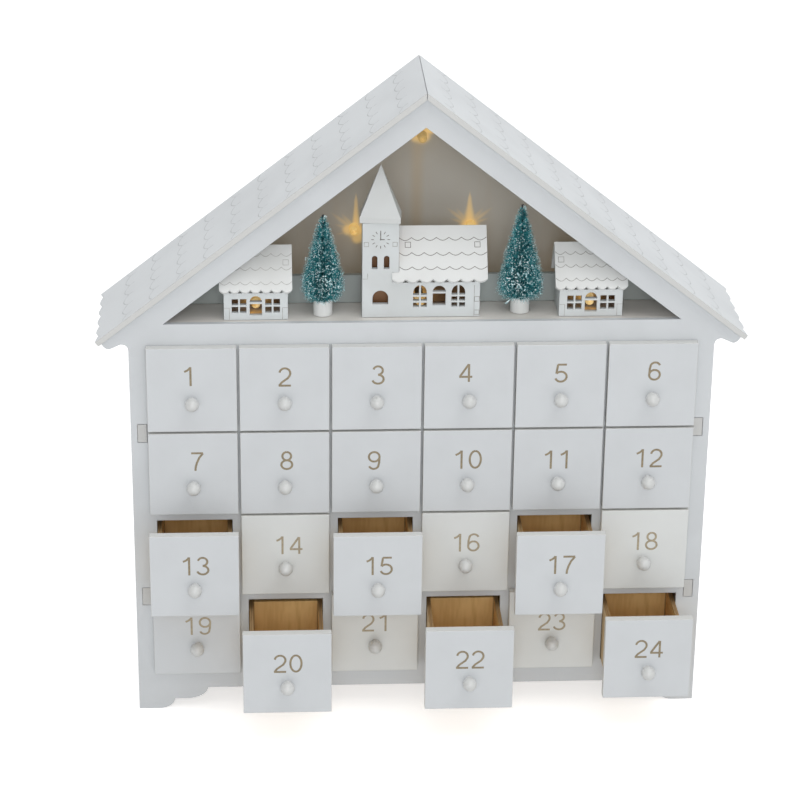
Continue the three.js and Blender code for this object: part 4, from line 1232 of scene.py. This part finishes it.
def bent_wire(name, line, thickness, sides=8):
    points = []
    for i, here in enumerate(line):
        along = (line[min(i + 1, len(line) - 1)] - line[max(i - 1, 0)]).normalized()
        side = along.orthogonal().normalized() if i == 0 else (side - along * side.dot(along)).normalized()
        above = along.cross(side)
        for k in range(sides):
            angle = math.tau * k / sides
            points.append(here + (side * math.cos(angle) + above * math.sin(angle)) * thickness / 2 * MM)
    faces = tube_faces(len(line) - 1, sides)
    faces += [tuple(range(sides))[::-1], tuple(range(len(points) - sides, len(points)))]
    return piece(name, points, faces, contact_finish.material, "case", None, smooth=True)


def contact_spring(name, wall_x, inward, z):
    turns, steps, length = 4.5, 90, 6.5
    line = []
    for i in range(steps + 1):
        share = i / steps
        coil = 3.6 - 1.9 * share
        angle = math.tau * turns * share
        line.append(at(wall_x + inward * (0.6 + length * share), cell_depth + coil * math.cos(angle),
                       z + coil * math.sin(angle)))
    bent_wire(name, line, 0.55)


def contact_plate(name, wall_x, inward, z, button):
    thickness, half = 0.3, 4.2
    xs = sorted((wall_x + inward * 0.05, wall_x + inward * (0.05 + thickness)))
    base = panel_face / MM + cell_depth
    mesh = smooth_box(name, (xs[0], base - half, z - half), (xs[1], base + half, z + half), 0.1,
                      contact_finish.material)
    place_piece(name, mesh, "case")
    if button:
        dome = [(2.2, 0.0), (2.0, 0.5), (1.4, 0.8), (0.01, 0.9)]
        mesh = spun(f"{name}_button", dome,
                    lambda a, b, h: at(wall_x + inward * (0.35 + h), cell_depth + a, z + b),
                    20, contact_finish.material)
        place_piece(f"{name}_button", mesh, "case")


# %% Two cells, one each way round
cell_offset = 5.7
for name, z, spring_left in (("upper", bay_middle_z + cell_offset, True),
                             ("lower", bay_middle_z - cell_offset, False)):
    for side, wall_x, inward in (("left", bay_left, 1), ("right", bay_right, -1)):
        sprung = spring_left == (side == "left")
        contact_plate(f"{name}_{side}_contact", wall_x, inward, z, not sprung)
        if sprung:
            contact_spring(f"{name}_{side}_spring", wall_x, inward, z)
print("Bay from", round(bay_left, 1), "to", round(bay_right, 1), "mm")

# %% [markdown]
# ## Floor and light
#
# A product picture of a white object on white needs soft light from everywhere and a floor that stays
# white to the camera but still takes the shadow. The floor is a pale surface with a little emission
# that only camera, mirror and glass rays see, so it brightens the picture and not the object.

# %% Pale floor
floor_mesh = bpy.data.meshes.new("floor")
floor_mesh.from_pydata([(-6, -4, 0), (6, -4, 0), (6, 9, 0), (-6, 9, 0)], [], [(0, 1, 2, 3)])
floor = bpy.data.objects.new("floor", floor_mesh)
bpy.context.collection.objects.link(floor)
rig.stage(floor)


def seen_directly(tree):
    path = tree.nodes.new("ShaderNodeLightPath")
    total = path.outputs["Is Camera Ray"]
    for name in ("Is Glossy Ray", "Is Transmission Ray"):
        node = tree.nodes.new("ShaderNodeMath")
        node.operation = "MAXIMUM"
        tree.links.new(total, node.inputs[0])
        tree.links.new(path.outputs[name], node.inputs[1])
        total = node.outputs[0]
    return total


floor_finish = Finish("pale_floor")
floor_finish.set(Base_Color=(0.80, 0.80, 0.80), Roughness=0.9, Emission_Color=(1, 1, 1))
seen = seen_directly(floor_finish.material.node_tree)
floor_finish.set(Emission_Strength=floor_finish.times(seen, 0.62))
floor_mesh.materials.append(floor_finish.material)

# %% White surroundings
world = bpy.data.worlds.new("studio")
world.use_nodes = True
bpy.context.scene.world = world
sky = world.node_tree.nodes["Background"]
sky.inputs["Color"].default_value = (1, 1, 1, 1)
lift = world.node_tree.nodes.new("ShaderNodeMapRange")
world.node_tree.links.new(seen_directly(world.node_tree), lift.inputs["Value"])
lift.inputs["To Min"].default_value = 0.60
lift.inputs["To Max"].default_value = 1.0
world.node_tree.links.new(lift.outputs[0], sky.inputs["Strength"])


# %% [markdown]
# Three soft lamps: the key above, a little in front, a fill near the camera that lights the drawer
# fronts, and a weak low one that reaches under the open drawers.

# %% Three soft lamps
def soft_lamp(name, place, target, size, watts):
    data = bpy.data.lights.new(name, "AREA")
    data.shape = "DISK"
    data.size = size
    data.energy = watts
    lamp_object = bpy.data.objects.new(name, data)
    lamp_object.location = place
    lamp_object.rotation_euler = (Vector(target) - Vector(place)).to_track_quat("-Z", "Y").to_euler()
    bpy.context.collection.objects.link(lamp_object)
    return lamp_object


soft_lamp("key", (0.5, -0.6, 2.3), (0, 0, 0.18), 2.0, 18)
soft_lamp("fill", (-0.1, -2.1, 1.1), (0, 0, 0.2), 0.8, 10.2)
soft_lamp("low", (0.1, -2.0, 0.25), (0, 0, 0.12), 1.4, 5.2)
print("Lamps:", [o.name for o in bpy.data.objects if o.type == "LIGHT"])

# %% Write down the sizes and finish
json.dump({"cad": [list(c) for c in cad_bounds], "visual": [list(c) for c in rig.bounds()]},
          open("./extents.json", "w"))
print(open("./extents.json").read())
